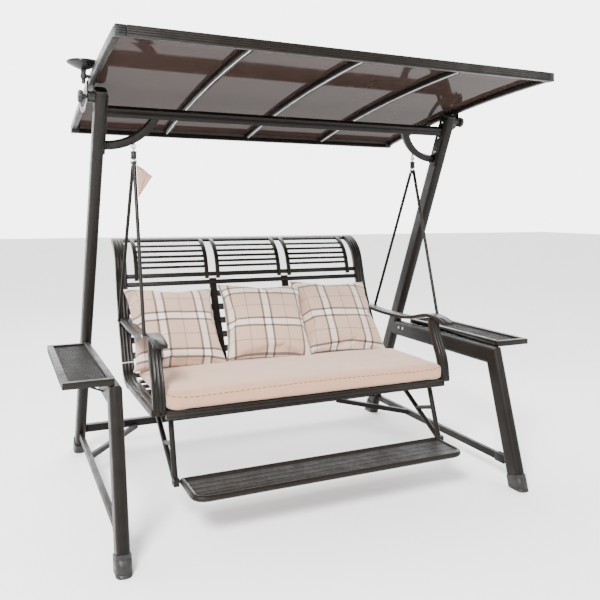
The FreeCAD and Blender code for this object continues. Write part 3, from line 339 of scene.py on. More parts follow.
MATERIALS["tee_bar"] = powder_coat("black tee bar", (0.004, 0.0035, 0.003), (0.012, 0.01, 0.009), 0.5)
# A pale colour painted on the tee bars' undersides as their highlight.
MATERIALS["gasket"] = plastic("pale gasket", (0.6, 0.6, 0.58), 0.4)
MATERIALS["solar_cell"] = plastic("solar cell", (0.006, 0.007, 0.014), 0.12)
# Each CAD node's material slot, and each node given the material of that slot.
slots = {part["node"]: part["material_slot"] for part in frame["record"]["subparts"]}
for name, item in nodes.items():
    item.data.materials.clear()
    item.data.materials.append(MATERIALS[slots[name]])


# ---- mesh helpers -------------------------------------------------------------------------------

X_AXIS, Y_AXIS, Z_AXIS = Vector((1, 0, 0)), Vector((0, 1, 0)), Vector((0, 0, 1))
FRONT = Vector((0, -1, 0))
SMOOTH_LIMIT = math.radians(32)
SHARP = math.radians(50)
MERGE = 1e-5
body_of = {name: body for body, names in frame["record"]["behaviour"]["bodies"].items() for name in names}


def loose_object(name, mesh):
    item = bpy.data.objects.new(name, mesh)
    bpy.context.scene.collection.objects.link(item)
    return item


def dress(item, slot_name, body, replaces=()):
    """Gives a piece its smooth shading, material and body, and hides the CAD nodes it stands for."""
    mesh = item.data
    mesh.polygons.foreach_set("use_smooth", [True] * len(mesh.polygons))
    mesh.materials.clear()
    mesh.materials.append(MATERIALS[slot_name])
    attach(item, body)
    if replaces:
        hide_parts(*replaces)
    return item


def finish_mesh(mesh, name, slot_name, body, replaces=()):
    """A new piece whose corners stay sharp."""
    item = dress(loose_object(name, mesh), slot_name, body, replaces)
    mesh.set_sharp_from_angle(angle=SMOOTH_LIMIT)
    return item


def make_piece(name, verts, faces, slot_name, body, replaces=()):
    """A piece made of vertices and faces, with all of its faces turned outwards."""
    mesh = bpy.data.meshes.new(name)
    mesh.from_pydata([tuple(v) for v in verts], [], faces)
    mesh.validate()
    shape = bmesh.new()
    shape.from_mesh(mesh)
    bmesh.ops.recalc_face_normals(shape, faces=shape.faces)
    shape.to_mesh(mesh)
    shape.free()
    return finish_mesh(mesh, name, slot_name, body, replaces)


def tube_faces(spans, count):
    """Faces between rings of points, one more ring than spans, with both ends closed."""
    faces = []
    for i in range(spans):
        low, high = i * count, (i + 1) * count
        for j in range(count):
            k = (j + 1) % count
            faces.append((low + j, low + k, high + k, high + j))
    faces.append(tuple(range(count))[::-1])
    faces.append(tuple(spans * count + j for j in range(count)))
    return faces


class Build:
    """Collects the vertices and faces of several solids into one piece."""

    def __init__(self):
        self.verts = []
        self.faces = []

    def add(self, verts, faces):
        start = len(self.verts)
        self.verts.extend(verts)
        self.faces.extend([tuple(start + i for i in face) for face in faces])
        return self

    def sweep(self, path, profile, side):
        """Profile points (along side, along normal) carried along a path of points."""
        verts = []
        count = len(profile)
        last = len(path) - 1
        for i, point in enumerate(path):
            before, after = path[max(i - 1, 0)], path[min(i + 1, last)]
            along = (after - before).normalized()
            across = (side - along * side.dot(along)).normalized()
            normal = along.cross(across)
            stretch = 1.0
            if 0 < i < last:
                turn = (point - before).normalized().dot((after - point).normalized())
                stretch = 1 / max(0.5, math.sqrt((1 + turn) / 2))
            for a, b in profile:
                verts.append(point + across * a + normal * (b * stretch))
        return self.add(verts, tube_faces(last, count))

    def lathe(self, start, axis, outline, steps=32, lobes=0, lobe_depth=0.0):
        """Outline points (height along the axis, radius) turned about it, closed at both ends.

        With lobes, the larger rings are scalloped by that many hollows.
        """
        axis = axis.normalized()
        first = axis.orthogonal().normalized()
        second = axis.cross(first)
        largest = max(radius for _, radius in outline)
        verts = []
        for height, radius in outline:
            for j in range(steps):
                angle = 2 * math.pi * j / steps
                hollow = (0.5 - 0.5 * math.cos(lobes * angle)) ** 2 * (radius / largest) ** 3
                spoke = first * math.cos(angle) + second * math.sin(angle)
                verts.append(start + axis * height + spoke * (radius - lobe_depth * hollow))
        return self.add(verts, tube_faces(len(outline) - 1, steps))

    def piece(self, name, slot_name, body, replaces=()):
        return make_piece(name, self.verts, self.faces, slot_name, body, replaces)


def smooth_path(points, steps):
    """A Catmull-Rom curve through points, with a few samples on each span."""
    points = [Vector(p) for p in points]
    ends = [points[0] * 2 - points[1], *points, points[-1] * 2 - points[-2]]
    path = []
    for i in range(len(points) - 1):
        a, b, c, d = ends[i:i + 4]
        for step in range(steps):
            t = step / steps
            path.append(0.5 * (2 * b + (c - a) * t + (2 * a - 5 * b + 4 * c - d) * t * t
                               + (3 * b - a - 3 * c + d) * t ** 3))
    path.append(points[-1])
    return path


def rounded_corners(points, radius, steps=5):
    """A path through points whose inner corners are arcs of about the radius."""
    points = [Vector(p) for p in points]
    path = [points[0]]
    for before, corner, after in zip(points, points[1:], points[2:]):
        into = (before - corner).normalized()
        out = (after - corner).normalized()
        reach = radius / math.tan(into.angle(out) / 2)
        for step in range(steps + 1):
            t = step / steps
            start, end = corner + into * reach, corner + out * reach
            path.append(start * (1 - t) ** 2 + corner * (2 * t * (1 - t)) + end * t * t)
    path.append(points[-1])
    return path


def circle(radius, steps):
    return [(radius * math.cos(2 * math.pi * i / steps), radius * math.sin(2 * math.pi * i / steps))
            for i in range(steps)]


def bar_profile(wide, thick, corner, steps=3):
    """A bar section with rounded corners."""
    a, b = wide / 2 - corner, thick / 2 - corner
    loop = []
    for centre_a, centre_b, start in ((a, b, 0), (-a, b, 90), (-a, -b, 180), (a, -b, 270)):
        for i in range(steps + 1):
            angle = math.radians(start + 90 * i / steps)
            loop.append((centre_a + corner * math.cos(angle), centre_b + corner * math.sin(angle)))
    return loop


def middle(node):
    low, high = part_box(node)
    return (low + high) / 2


BOLT_RADIUS, BOLT_HEIGHT = 0.0075, 0.0042


def dome_bolt(build, point, axis):
    """A low domed head with a washer edge and a hexagonal socket."""
    radius, height = BOLT_RADIUS, BOLT_HEIGHT
    outline = [(0, radius), (height * 0.25, radius), (height * 0.7, radius * 0.82), (height, radius * 0.45)]
    build.lathe(point, axis, outline, 20)
    build.lathe(point + axis * height * 0.9, axis, [(0, radius * 0.44), (0.0004, radius * 0.36)], 6)


# The share of a channel's width that each sloping side takes.
CHANNEL_SLOPE = 0.22


def refined(node, cuts=(), bevel=0.001):
    """A finer copy of a CAD node: rounded edges, and channels cut along it.

    Each cut is (axis, place, width, depth, facing): a channel between two planes across the axis,
    on faces that look towards facing, or on all faces when facing is None.
    """
    shape = bmesh.new()
    shape.from_mesh(nodes[node].data)
    bmesh.ops.remove_doubles(shape, verts=shape.verts, dist=MERGE)
    bmesh.ops.dissolve_limit(shape, angle_limit=math.radians(0.5), verts=shape.verts, edges=shape.edges)
    if bevel:
        sharp = [e for e in shape.edges if len(e.link_faces) == 2 and e.calc_face_angle() > SHARP]
        bmesh.ops.bevel(shape, geom=sharp, offset=bevel, segments=2, profile=0.5, affect="EDGES",
                        clamp_overlap=True)
    for axis, place, width, depth, facing in cuts:
        cut_channel(shape, axis, place, width, depth, facing)
    mesh = bpy.data.meshes.new(node + "_fine")
    shape.to_mesh(mesh)
    shape.free()
    return finish_mesh(mesh, node + "_fine", slots[node], body_of[node], (node,))


def split_at(shape, axis, place):
    geometry = shape.verts[:] + shape.edges[:] + shape.faces[:]
    bmesh.ops.bisect_plane(shape, geom=geometry, dist=1e-6, plane_co=axis * place, plane_no=axis)


def cut_channel(shape, axis, place, width, depth, facing):
    half, slope = width / 2, min(width * CHANNEL_SLOPE, depth)
    for offset in (-half, -half + slope, half - slope, half):
        split_at(shape, axis, place + offset)
    moves = []
    for vert in shape.verts:
        if abs(vert.co.dot(axis) - place) > half - slope + MERGE:
            continue
        normals = [f.normal for f in vert.link_faces if abs(f.normal.dot(axis)) < 0.3]
        if facing is not None:
            normals = [n for n in normals if n.dot(facing) > 0.6]
        if normals:
            moves.append((vert, sum(normals, Vector()).normalized() * depth))
    for vert, move in moves:
        vert.co -= move


# ---- stand --------------------------------------------------------------------------------------

# The posts run back by the first over a rise of the second.
POST_RUN, POST_RISE = 0.826, 1.818
# Fine lines along the oval tubes: the distance of each from the middle, and its width and depth.
TUBE_LINE, LINE_WIDE, LINE_DEEP = 0.0105, 0.0022, 0.0008
# Rings round the feet: their height over the floor or below the top, and their width.
FOOT_RING_UP, FOOT_RING_DOWN, FOOT_RING_WIDE = 0.014, 0.016, 0.002


def stand_pieces():
    for name, _ in SIDES:
        for part in ("post", "front_leg", "table_arm"):
            node = f"{name}_{part}"
            lines = [(X_AXIS, middle(node).x + side * TUBE_LINE, LINE_WIDE, LINE_DEEP, None)
                     for _, side in SIDES]
            refined(node, lines, bevel=0)
    for node in ("front_feet", "rear_feet"):
        low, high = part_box(node)
        refined(node, [(Z_AXIS, low.z + FOOT_RING_UP, FOOT_RING_WIDE, 0.001, None),
                       (Z_AXIS, high.z - FOOT_RING_DOWN, FOOT_RING_WIDE, 0.0008, None)], bevel=0.0015)
    lean = math.atan2(POST_RUN, POST_RISE)
    climb = Vector((0, -math.sin(lean), math.cos(lean)))
    ahead = Vector((0, -math.cos(lean), -math.sin(lean)))
    groove = middle("top_crossbar").dot(climb) + 0.006
    refined("top_crossbar", [(climb, groove, 0.003, 0.0014, ahead)], bevel=0)
    for node in ("arc_brackets", "mount_plates", "table_frames", "side_braces", "knee_braces"):
        refined(node, bevel=0.0012)
    refined("rear_crossbar", bevel=0.002)


stand_pieces()


# ---- tables -------------------------------------------------------------------------------------

# The openings of the mesh, its strands, and how far it spans across each table.
CELL_LONG, CELL_WIDE = 0.0098, 0.0135
STRAND, STRAND_DEEP = 0.0021, 0.0016
MESH_SPAN = 0.14


def expanded_mesh(build, low, high):
    """A flat sheet of diamond openings made of zigzag strands that touch at their turns."""
    rows = max(2, round((high.x - low.x) / (CELL_WIDE / 2)))
    turns = max(2, round((high.y - low.y) / (CELL_LONG / 2)))
    pitch_x, pitch_y = (high.x - low.x) / rows, (high.y - low.y) / turns
    z = (low.z + high.z) / 2
    half, deep = STRAND / 2, STRAND_DEEP / 2
    profile = [(half, deep), (-half, deep), (-half, -deep), (half, -deep)]
    for row in range(rows):
        path = []
        for turn in range(turns + 1):
            outer = (row + turn) % 2
            path.append(Vector((low.x + pitch_x * (row + outer), low.y + pitch_y * turn, z)))
        build.sweep(path, profile, X_AXIS)


def table_pieces():
    build = Build()
    low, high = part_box("table_meshes")
    for side in (-1, 1):
        near, far = sorted((side * (high.x - MESH_SPAN), side * high.x))
        expanded_mesh(build, Vector((near, low.y, low.z)), Vector((far, high.y, high.z)))
    build.piece("table_lattice", "mesh", "base_frame", ("table_meshes",))


table_pieces()


# ---- canopy -------------------------------------------------------------------------------------

# Channels along the ribbed front rail: their places as shares of its height, width and depth.
RIB_SHARES = (0.2, 0.42, 0.64, 0.84)
RIB_WIDE, RIB_DEEP = 0.0042, 0.0022
# The tee bars' width, the channel along each, and half the width of the pale painted highlight strip in it.
DIVIDER_WIDE = 0.03
DIVIDER_GROOVE_WIDE, DIVIDER_GROOVE_DEEP, HIGHLIGHT_STRIP_HALF = 0.0058, 0.0012, 0.0024


def rib_cuts(facing):
    low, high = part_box("canopy_front_rail")
    tall = high.z - low.z
    return [(Z_AXIS, low.z + tall * share, RIB_WIDE, RIB_DEEP, facing) for share in RIB_SHARES]


def canopy_pieces():
    refined("canopy_front_rail", rib_cuts(FRONT), bevel=0.0018)
    refined("canopy_rear_rail", [(Z_AXIS, middle("canopy_rear_rail").z, 0.005, 0.002, None)], bevel=0.0018)
    refined("canopy_side_rails", bevel=0.002)
    refined("canopy_corner_caps", rib_cuts(None), bevel=0.004)
    make_dividers()
    refined("canopy_hinge_plates", bevel=0.0008)
    refined("canopy_panels", bevel=0)


def make_dividers():
    """The three tee bars, each with a pale painted highlight strip along the middle of its underside."""
    low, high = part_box("canopy_dividers")
    pitch = (high.x - low.x - DIVIDER_WIDE) / 2
    centres = [low.x + DIVIDER_WIDE / 2 + pitch * number for number in range(3)]
    cuts = [(X_AXIS, x, DIVIDER_GROOVE_WIDE, DIVIDER_GROOVE_DEEP, -Z_AXIS) for x in centres]
    item = refined("canopy_dividers", cuts)
    item.data.materials[0] = MATERIALS["tee_bar"]
    item.data.materials.append(MATERIALS["gasket"])
    # Downward faces in each channel get the pale painted highlight.
    for face in item.data.polygons:
        near = any(abs(face.center.x - centre) < HIGHLIGHT_STRIP_HALF for centre in centres)
        if near and face.normal.z < -0.6:
            face.material_index = 1


canopy_pieces()


# The turns and pitch of the stud's thread, and the lobes of the knob's grip and their depth.
THREAD_TURNS, THREAD_PITCH = 12, 0.0022
KNOB_LOBES, KNOB_LOBE_DEEP = 8, 0.003
GRIP_THICK = 0.02


def knob_pieces():
    """Tilt knobs: a scalloped grip with a recessed face, a collar and the threaded stud."""
    for name, side in SIDES:
        node = f"{name}_tilt_knob"
        low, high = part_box(node)
        outer = high.x if side > 0 else low.x
        inner = low.x if side > 0 else high.x
        radius = (high.z - low.z) / 2
        out = X_AXIS * side
        centre = middle(node)
        reach = abs(outer - inner)
        build = Build()
        start = Vector((inner, centre.y, centre.z))
        stud = [(0, 0.005), (0.001, 0.006)]
        for turn in range(THREAD_TURNS):
            stud += [(0.002 + turn * THREAD_PITCH, 0.006), (0.0031 + turn * THREAD_PITCH, 0.0052)]
        stud.append((reach - 0.021, 0.0058))
        build.lathe(start, out, stud)
        grip = reach - GRIP_THICK
        build.lathe(start, out, [(grip - 0.012, 0.0105), (grip - 0.011, 0.012), (grip + 0.001, 0.0125)])
        outline = [(grip, radius * 0.6), (grip + 0.0012, radius * 0.9), (grip + 0.004, radius),
                   (grip + 0.015, radius), (grip + 0.0185, radius * 0.94),
                   (grip + GRIP_THICK, radius * 0.84), (grip + 0.0196, radius * 0.6),
                   (grip + 0.0186, radius * 0.5), (grip + 0.0186, radius * 0.2),
                   (grip + 0.0192, radius * 0.16)]
        build.lathe(start, out, outline, 96, KNOB_LOBES, KNOB_LOBE_DEEP)
        build.piece(node + "_grip", "black_plastic", node.replace("_tilt", ""), (node,))


def lamp_pieces():
    """Solar lamp: a shallow bowl with a rolled rim, a dark cell under a ring, and a tapered stem."""
    low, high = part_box("lamp_head")
    centre = (low + high) / 2
    base = Vector((centre.x, centre.y, low.z))
    tall, radius = high.z - low.z, (high.x - low.x) / 2
    bowl = [(0, 0.012), (0.0015, 0.018), (0.006, 0.030), (0.012, 0.043), (0.018, 0.055), (0.0225, 0.062),
            (0.0245, radius - 0.0035), (0.0275, radius - 0.0005), (0.0305, radius), (0.0335, radius - 0.001),
            (tall - 0.0015, radius - 0.004), (tall - 0.0006, radius - 0.008), (tall - 0.002, radius - 0.011),
            (tall - 0.0022, 0.03), (tall - 0.0022, 0.004)]
    Build().lathe(base, Z_AXIS, bowl, 64).piece("lamp_bowl", "lamp", "canopy", ("lamp_head",))
    cell = Build()
    top = Vector((centre.x, centre.y, high.z - 0.002))
    cell.lathe(top, Z_AXIS, [(0, 0.046), (0.0006, 0.0465), (0.0011, 0.0455), (0.0012, 0.002)], 64)
    cell.piece("lamp_cell", "solar_cell", "canopy")
    low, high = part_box("lamp_stem")
    stem = Build()
    foot = Vector((centre.x, centre.y, low.z))
    tall = high.z - low.z
    stem.lathe(foot, Z_AXIS, [(0, 0.0045), (0.0012, 0.0068), (0.004, 0.0078), (0.006, 0.0072),
                              (tall * 0.45, 0.0092), (tall * 0.5, 0.0104), (tall * 0.55, 0.0094),
                              (tall - 0.004, 0.0112), (tall, 0.0114)], 32)
    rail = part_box("canopy_side_rails")[0].x
    ring = [(0.0225, 0.0112), (0.0245, 0.0125), (0.0405, 0.0125), (0.042, 0.0112)]
    stem.lathe(foot, Z_AXIS, ring, 32)
    z = foot.z + 0.0325
    stem.sweep([Vector((centre.x + 0.009, centre.y, z)), Vector((rail, centre.y, z))],
               bar_profile(0.014, 0.012, 0.003), Z_AXIS)
    stem.piece("lamp_holder", "black_plastic", "canopy", ("lamp_stem",))


knob_pieces()
lamp_pieces()


# ---- seat frame ---------------------------------------------------------------------------------

# Widths of the bars whose grooves are placed from their middles.
SUPPORT_WIDE, STILE_WIDE, FOOT_SLAT = 0.053, 0.058, 0.034


def seat_pieces():
    for name, side in SIDES:
        stile = f"{name}_back_stile"
        x = middle(stile).x
        lines = [(X_AXIS, x + offset * side, 0.0042, 0.0018, None) for offset in (-0.013, 0.004, 0.02)]
        refined(stile, lines, bevel=0.0022)
        arm = f"{name}_armrest"
        x = middle(arm).x
        lines = [(X_AXIS, x + offset, 0.0032, 0.0012, Z_AXIS) for offset in (-0.021, 0.021)]
        refined(arm, lines, bevel=0.003)
    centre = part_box("arm_supports")[1].x - SUPPORT_WIDE / 2
    lines = [(X_AXIS, side * centre + offset, 0.0068, 0.0026, None) for side in (-1, 1)
             for offset in (-0.0145, 0, 0.0145)]
    refined("arm_supports", lines, bevel=0.002)
    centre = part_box("seat_side_rails")[1].x - STILE_WIDE / 2
    lines = [(X_AXIS, side * centre + offset, 0.0042, 0.0018, None) for side in (-1, 1)
             for offset in (-0.015, 0.015)]
    refined("seat_side_rails", lines, bevel=0.002)
    low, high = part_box("seat_front_rail")
    refined("seat_front_rail", [(Z_AXIS, high.z - 0.011, 0.003, 0.0014, FRONT),
                                (Z_AXIS, low.z + 0.007, 0.003, 0.0014, FRONT)], bevel=0.0022)
    for node in ("back_top_rail", "back_rails", "back_curved_bars", "back_uprights", "back_upper_slats",
                 "back_lower_slats"):
        refined(node, bevel=0.0018)
    refined("seat_slats", bevel=0.0015)
    low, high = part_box("footrest_slats")
    pitch = (high.y - low.y - FOOT_SLAT) / 3
    lines = []
    for number in range(4):
        y = low.y + FOOT_SLAT / 2 + pitch * number
        lines += [(Y_AXIS, y + offset, 0.0045, 0.0024, Z_AXIS) for offset in (-0.0095, 0, 0.0095)]
    refined("footrest_slats", lines, bevel=0.0016)


seat_pieces()


def hardware_pieces():
    """Bolt heads in place of the plain ones, and the ribbed spring sleeves."""
    for node, body in (("frame_bolts", "base_frame"), ("hinge_bolts", "canopy"), ("hanger_bolts", "seat")):
        build = Build()
        for point, axis in bolt_places(node):
            dome_bolt(build, point, axis)
        build.piece(node + "_heads", "zinc", body, (node,))
    build = Build()
    low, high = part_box("spring_sleeves")
    tall, radius = high.z - low.z, (high.y - low.y) / 2
    for side in (-1, 1):
        base = Vector((side * (high.x - radius), (low.y + high.y) / 2, low.z))
        outline = [(0, radius * 0.55), (0.0008, radius * 0.93), (0.003, radius), (0.0065, radius),
                   (0.0085, radius * 0.86)]
        outline += [(tall * share, radius * (0.9 if index % 2 else 0.84))
                    for index, share in enumerate((0.32, 0.4, 0.48, 0.56, 0.64, 0.7))]
        outline += [(tall - 0.0085, radius * 0.86), (tall - 0.0065, radius), (tall - 0.003, radius),
                    (tall - 0.0008, radius * 0.93), (tall, radius * 0.55)]
        build.lathe(base, Z_AXIS, outline)
    build.piece("sleeve_bodies", "black_plastic", "seat", ("spring_sleeves",))


def bolt_places(node):
    """The foot and outward axis of each plain bolt head in a CAD node."""
    shape = bmesh.new()
    shape.from_mesh(nodes[node].data)
    bmesh.ops.remove_doubles(shape, verts=shape.verts, dist=MERGE)
    seen = set()
    places = []
    for start in shape.verts:
        if start in seen:
            continue
        seen.add(start)
        stack = [start]
        island = []
        while stack:
            vert = stack.pop()
            island.append(vert.co.copy())
            for edge in vert.link_edges:
                other = edge.other_vert(vert)
                if other not in seen:
                    seen.add(other)
                    stack.append(other)
        xs = [co.x for co in island]
        centre = sum(island, Vector()) / len(island)
        outward = bolt_direction(node, centre.x)
        foot = min(xs) if outward > 0 else max(xs)
        places.append((Vector((foot, centre.y, centre.z)), X_AXIS * outward))
    shape.free()
    return places


def bolt_direction(node, x):
    side = 1 if x > 0 else -1
    return -side if node == "frame_bolts" else side


hardware_pieces()


# ---- soft goods ---------------------------------------------------------------------------------

SIM_FRAMES = 20
SEAT_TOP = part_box("seat_cushion")[1].z
# How far the rear of the cushion's top sinks under the pillows.
REAR_SAG = 0.02

# The pillows' flat cloth, half its thickness and half its spread once stuffed, in metres.
PILLOW_STEPS = 60
PILLOW_FLAT = 0.47
PILLOW_HALF_THICK = 0.052
PILLOW_HALF = (0.243, 0.25)
# The outline of a pillow's crown: how square it is seen from above, and how full near its edges.
CROWN_SQUARE, CROWN_FULL = 2.6, 0.55
# How far the middle of each edge is drawn in, how much the cloth ripples and its edge waves.
EDGE_PULL, RIPPLE, EDGE_WAVE = 0.035, 0.006, 0.003
# Each pillow's name, its turn about the upright in degrees, and the seed of its ripples.
PILLOWS = (("left", 4, 1), ("middle", -4, 2), ("right", 0, 3))
# How each pillow lies beside its CAD solid: moved across and back, sunk, and tipped, in degrees.
PILLOW_SHIFT = {"left": (-0.02, -0.009), "middle": (0.008, -0.012), "right": (0.002, -0.012)}
PILLOW_SINK = 0.025
PILLOW_LEAN, PILLOW_ROLL = 48, 3.2

CUSHION_CORNER, CUSHION_EDGE, CUSHION_INSET = 0.045, 0.011, 0.007
CUSHION_VOXEL = 0.0075
CUSHION_CROWN = 0.006
# Where the sag starts and how long it takes, as shares of half the cushion's depth.
SAG_FROM, SAG_OVER = 0.25, 0.4
# The seam below the top: how far down, how tall its hollow is, how deep, and how far in it reaches.
SEAM_DROP, SEAM_TALL, SEAM_DEEP, SEAM_REACH = 0.006, 0.006, 0.0022, 0.02
STITCH_LONG, STITCH_GAP, STITCH_RADIUS, STITCH_IN = 0.016, 0.009, 0.0016, 0.007

# The share of the pennant's width that is folded under, and where its side corner lies down the rod.
FOLD_SHARE = 0.62
PENNANT_CORNER = 0.33
PENNANT_STEPS, PENNANT_THICK = 22, 0.0009
PIPING_RADIUS = 0.0016
# The tape round the left stile: its run from front to back, and its gap to the stile.
TIE_FRONT, TIE_BACK, TIE_GAP = 0.362, 0.4, 0.0012


def coords_of(mesh):
    return [vert.co.copy() for vert in mesh.vertices]


def inflate(item, pressure, cap, bending, tension):
    """Swells a closed cover with a cloth simulation, and holds each point within cap of its start."""
    scene = bpy.context.scene
    before = coords_of(item.data)
    cloth = item.modifiers.new("cloth", "CLOTH")
    settings = cloth.settings
    settings.quality = 6
    settings.mass = 0.25
    settings.tension_stiffness = settings.compression_stiffness = tension
    settings.shear_stiffness = tension * 0.5
    settings.bending_stiffness = bending
    settings.air_damping = 2.5
    settings.use_pressure = True
    settings.uniform_pressure_force = pressure
    settings.effector_weights.gravity = 0
    cloth.point_cache.frame_start, cloth.point_cache.frame_end = 1, SIM_FRAMES
    for number in range(1, SIM_FRAMES + 1):
        scene.frame_set(number)
    settled = item.evaluated_get(bpy.context.evaluated_depsgraph_get())
    after = coords_of(settled.data)
    item.modifiers.remove(cloth)
    scene.frame_set(1)
    for vert, start, end in zip(item.data.vertices, before, after):
        move = end - start
        if move.length > cap:
            move *= cap / move.length
        vert.co = start + move


def fit_spread(item, axis, low, high):
    """Stretches a soft piece along one axis so that it reaches from low to high."""
    values = [vert.co[axis] for vert in item.data.vertices]
    scale = (high - low) / (max(values) - min(values))
    start = min(values)
    for vert in item.data.vertices:
        vert.co[axis] = low + (vert.co[axis] - start) * scale


def take_shape(item, modifier):
    """Replaces an object's mesh with the result of its one modifier."""
    made = bpy.data.meshes.new_from_object(item.evaluated_get(bpy.context.evaluated_depsgraph_get()))
    item.modifiers.remove(modifier)
    item.data = made


def subdivide(item):
    smooth = item.modifiers.new("smooth", "SUBSURF")
    smooth.levels = smooth.render_levels = 1
    take_shape(item, smooth)


def pillow_case(seed):
    """Two square panels joined along a knife edge, with the flat cloth's coordinates as UVs."""
    steps, half = PILLOW_STEPS, PILLOW_FLAT / 2
    verts, index, flat = [], {}, []

    def place(i, j, face):
        edge = i in (0, steps) or j in (0, steps)
        key = (i, j, 0 if edge else face)
        if key not in index:
            u, v = 2 * i / steps - 1, 2 * j / steps - 1
            full = max(0.0, (1 - abs(u) ** CROWN_SQUARE) * (1 - abs(v) ** CROWN_SQUARE)) ** CROWN_FULL
            pull = EDGE_PULL * (1 - abs(v) ** 2), EDGE_PULL * (1 - abs(u) ** 2)
            ripple = RIPPLE * noise.noise(Vector((u * 3.1, v * 3.1, seed * 7.3 + face)))
            z = 0 if edge else face * (PILLOW_HALF_THICK * full + ripple * full)
            wave = EDGE_WAVE * noise.noise(Vector((u * 6 + seed, v * 6, 3.7))) if edge else 0
            index[key] = len(verts)
            verts.append(Vector((half * u * (1 - pull[0]), half * v * (1 - pull[1]), z + wave)))
        return index[key]

    faces = []
    for face in (1, -1):
        for i in range(steps):
            for j in range(steps):
                corners = [(i, j), (i + 1, j), (i + 1, j + 1), (i, j + 1)][::face]
                faces.append(tuple(place(a, b, face) for a, b in corners))
                flat.append([(half * (2 * a / steps - 1), half * (2 * b / steps - 1)) for a, b in corners])
    mesh = bpy.data.meshes.new("pillow_case")
    mesh.from_pydata([tuple(v) for v in verts], [], faces)
    layer = mesh.uv_layers.new(name="cloth")
    for polygon, corners in zip(mesh.polygons, flat):
        for loop, uv in zip(polygon.loop_indices, corners):
            layer.data[loop].uv = uv
    return mesh


def rest_on(item, level, soft):
    """Lets the underside of a soft piece settle on a level instead of passing through it."""
    for vert in item.data.vertices:
        over = vert.co.z - level
        if over < soft:
            vert.co.z = level + soft * math.exp((over - soft) / soft)


def make_pillow(name, turn, seed):
    item = loose_object(name + "_pillow_cover", pillow_case(seed))
    inflate(item, pressure=3.2, cap=0.024, bending=0.15, tension=18)
    for axis in (0, 1):
        fit_spread(item, axis, -PILLOW_HALF[axis], PILLOW_HALF[axis])
    subdivide(item)
    node = name + "_pillow"
    across, back = PILLOW_SHIFT[name]
    centre = middle(node) + Vector((across, back, -PILLOW_SINK))
    turned = Matrix.Rotation(math.radians(turn), 4, "Z") @ Matrix.Rotation(
        math.radians(PILLOW_LEAN), 4, "X") @ Matrix.Rotation(math.radians(-PILLOW_ROLL), 4, "Z")
    item.data.transform(Matrix.Translation(centre) @ turned)
    rest_on(item, SEAT_TOP - REAR_SAG - 0.001, 0.004)
    dress(item, "plaid_" + name, "seat", (node,))


def box_cover(low, high):
    """A rounded boxed cushion cover, slightly smaller than its solid so that it can swell."""
    shape = bmesh.new()
    bmesh.ops.create_cube(shape, size=2)
    inset = Vector((CUSHION_INSET, CUSHION_INSET, CUSHION_INSET * 0.6))
    centre, half = (low + high) / 2, (high - low) / 2 - inset
    for vert in shape.verts:
        vert.co = Vector((vert.co.x * half.x, vert.co.y * half.y, vert.co.z * half.z))
    upright = [e for e in shape.edges if abs(e.verts[0].co.z - e.verts[1].co.z) > half.z]
    bmesh.ops.bevel(shape, geom=upright, offset=CUSHION_CORNER, segments=6, profile=0.5, affect="EDGES")
    level = [e for e in shape.edges if abs(e.verts[0].co.z - e.verts[1].co.z) < half.z
             and len(e.link_faces) == 2 and e.calc_face_angle() > SHARP]
    bmesh.ops.bevel(shape, geom=level, offset=CUSHION_EDGE, segments=3, profile=0.5, affect="EDGES")
    for vert in shape.verts:
        vert.co += centre
    mesh = bpy.data.meshes.new("cushion_cover")
    shape.to_mesh(mesh)
    shape.free()
    return mesh


def shape_top(mesh, centre, half):
    """Crowns the top of the cushion, and lets its rear sink under the pillows."""
    for vert in mesh.vertices:
        u, v = (vert.co.x - centre.x) / half.x, (vert.co.y - centre.y) / half.y
        inside = max(0.0, (1 - u ** 4) * (1 - v ** 4))
        if vert.co.z > centre.z:
            rear = min(1, max(0, (v - SAG_FROM) / SAG_OVER))
            vert.co.z += CUSHION_CROWN * inside * (1 + 0.5 * noise.noise(vert.co * 5))
            vert.co.z -= (REAR_SAG + 0.004) * rear * rear * (3 - 2 * rear)
        vert.co.z = max(vert.co.z, centre.z - half.z)


def sink_seam(mesh, centre, half, seam_z):
    """Draws the sides of the cushion in along the seam."""
    for vert in mesh.vertices:
        gap = abs(vert.co.z - seam_z)
        edge = max(abs(vert.co.x - centre.x) - half.x, abs(vert.co.y - centre.y) - half.y) + SEAM_REACH
        if gap < SEAM_TALL and edge > 0:
            inward = Vector((centre.x - vert.co.x, centre.y - vert.co.y, 0)).normalized()
            vert.co += inward * SEAM_DEEP * (1 - gap / SEAM_TALL)


def make_cushion():
    low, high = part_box("seat_cushion")
    centre, half = (low + high) / 2, (high - low) / 2
    item = loose_object("seat_cushion_cover", box_cover(low, high))
    remesh = item.modifiers.new("remesh", "REMESH")
    remesh.mode = "VOXEL"
    remesh.voxel_size = CUSHION_VOXEL
    take_shape(item, remesh)
    inflate(item, pressure=4, cap=0.011, bending=0.6, tension=12)
    for axis in (0, 1):
        fit_spread(item, axis, low[axis], high[axis])
    shape_top(item.data, centre, half)
    seam_z = high.z - SEAM_DROP
    sink_seam(item.data, centre, half, seam_z)
    subdivide(item)
    dress(item, "cushion", "seat", ("seat_cushion",))
    make_stitches(item, centre, half, seam_z)


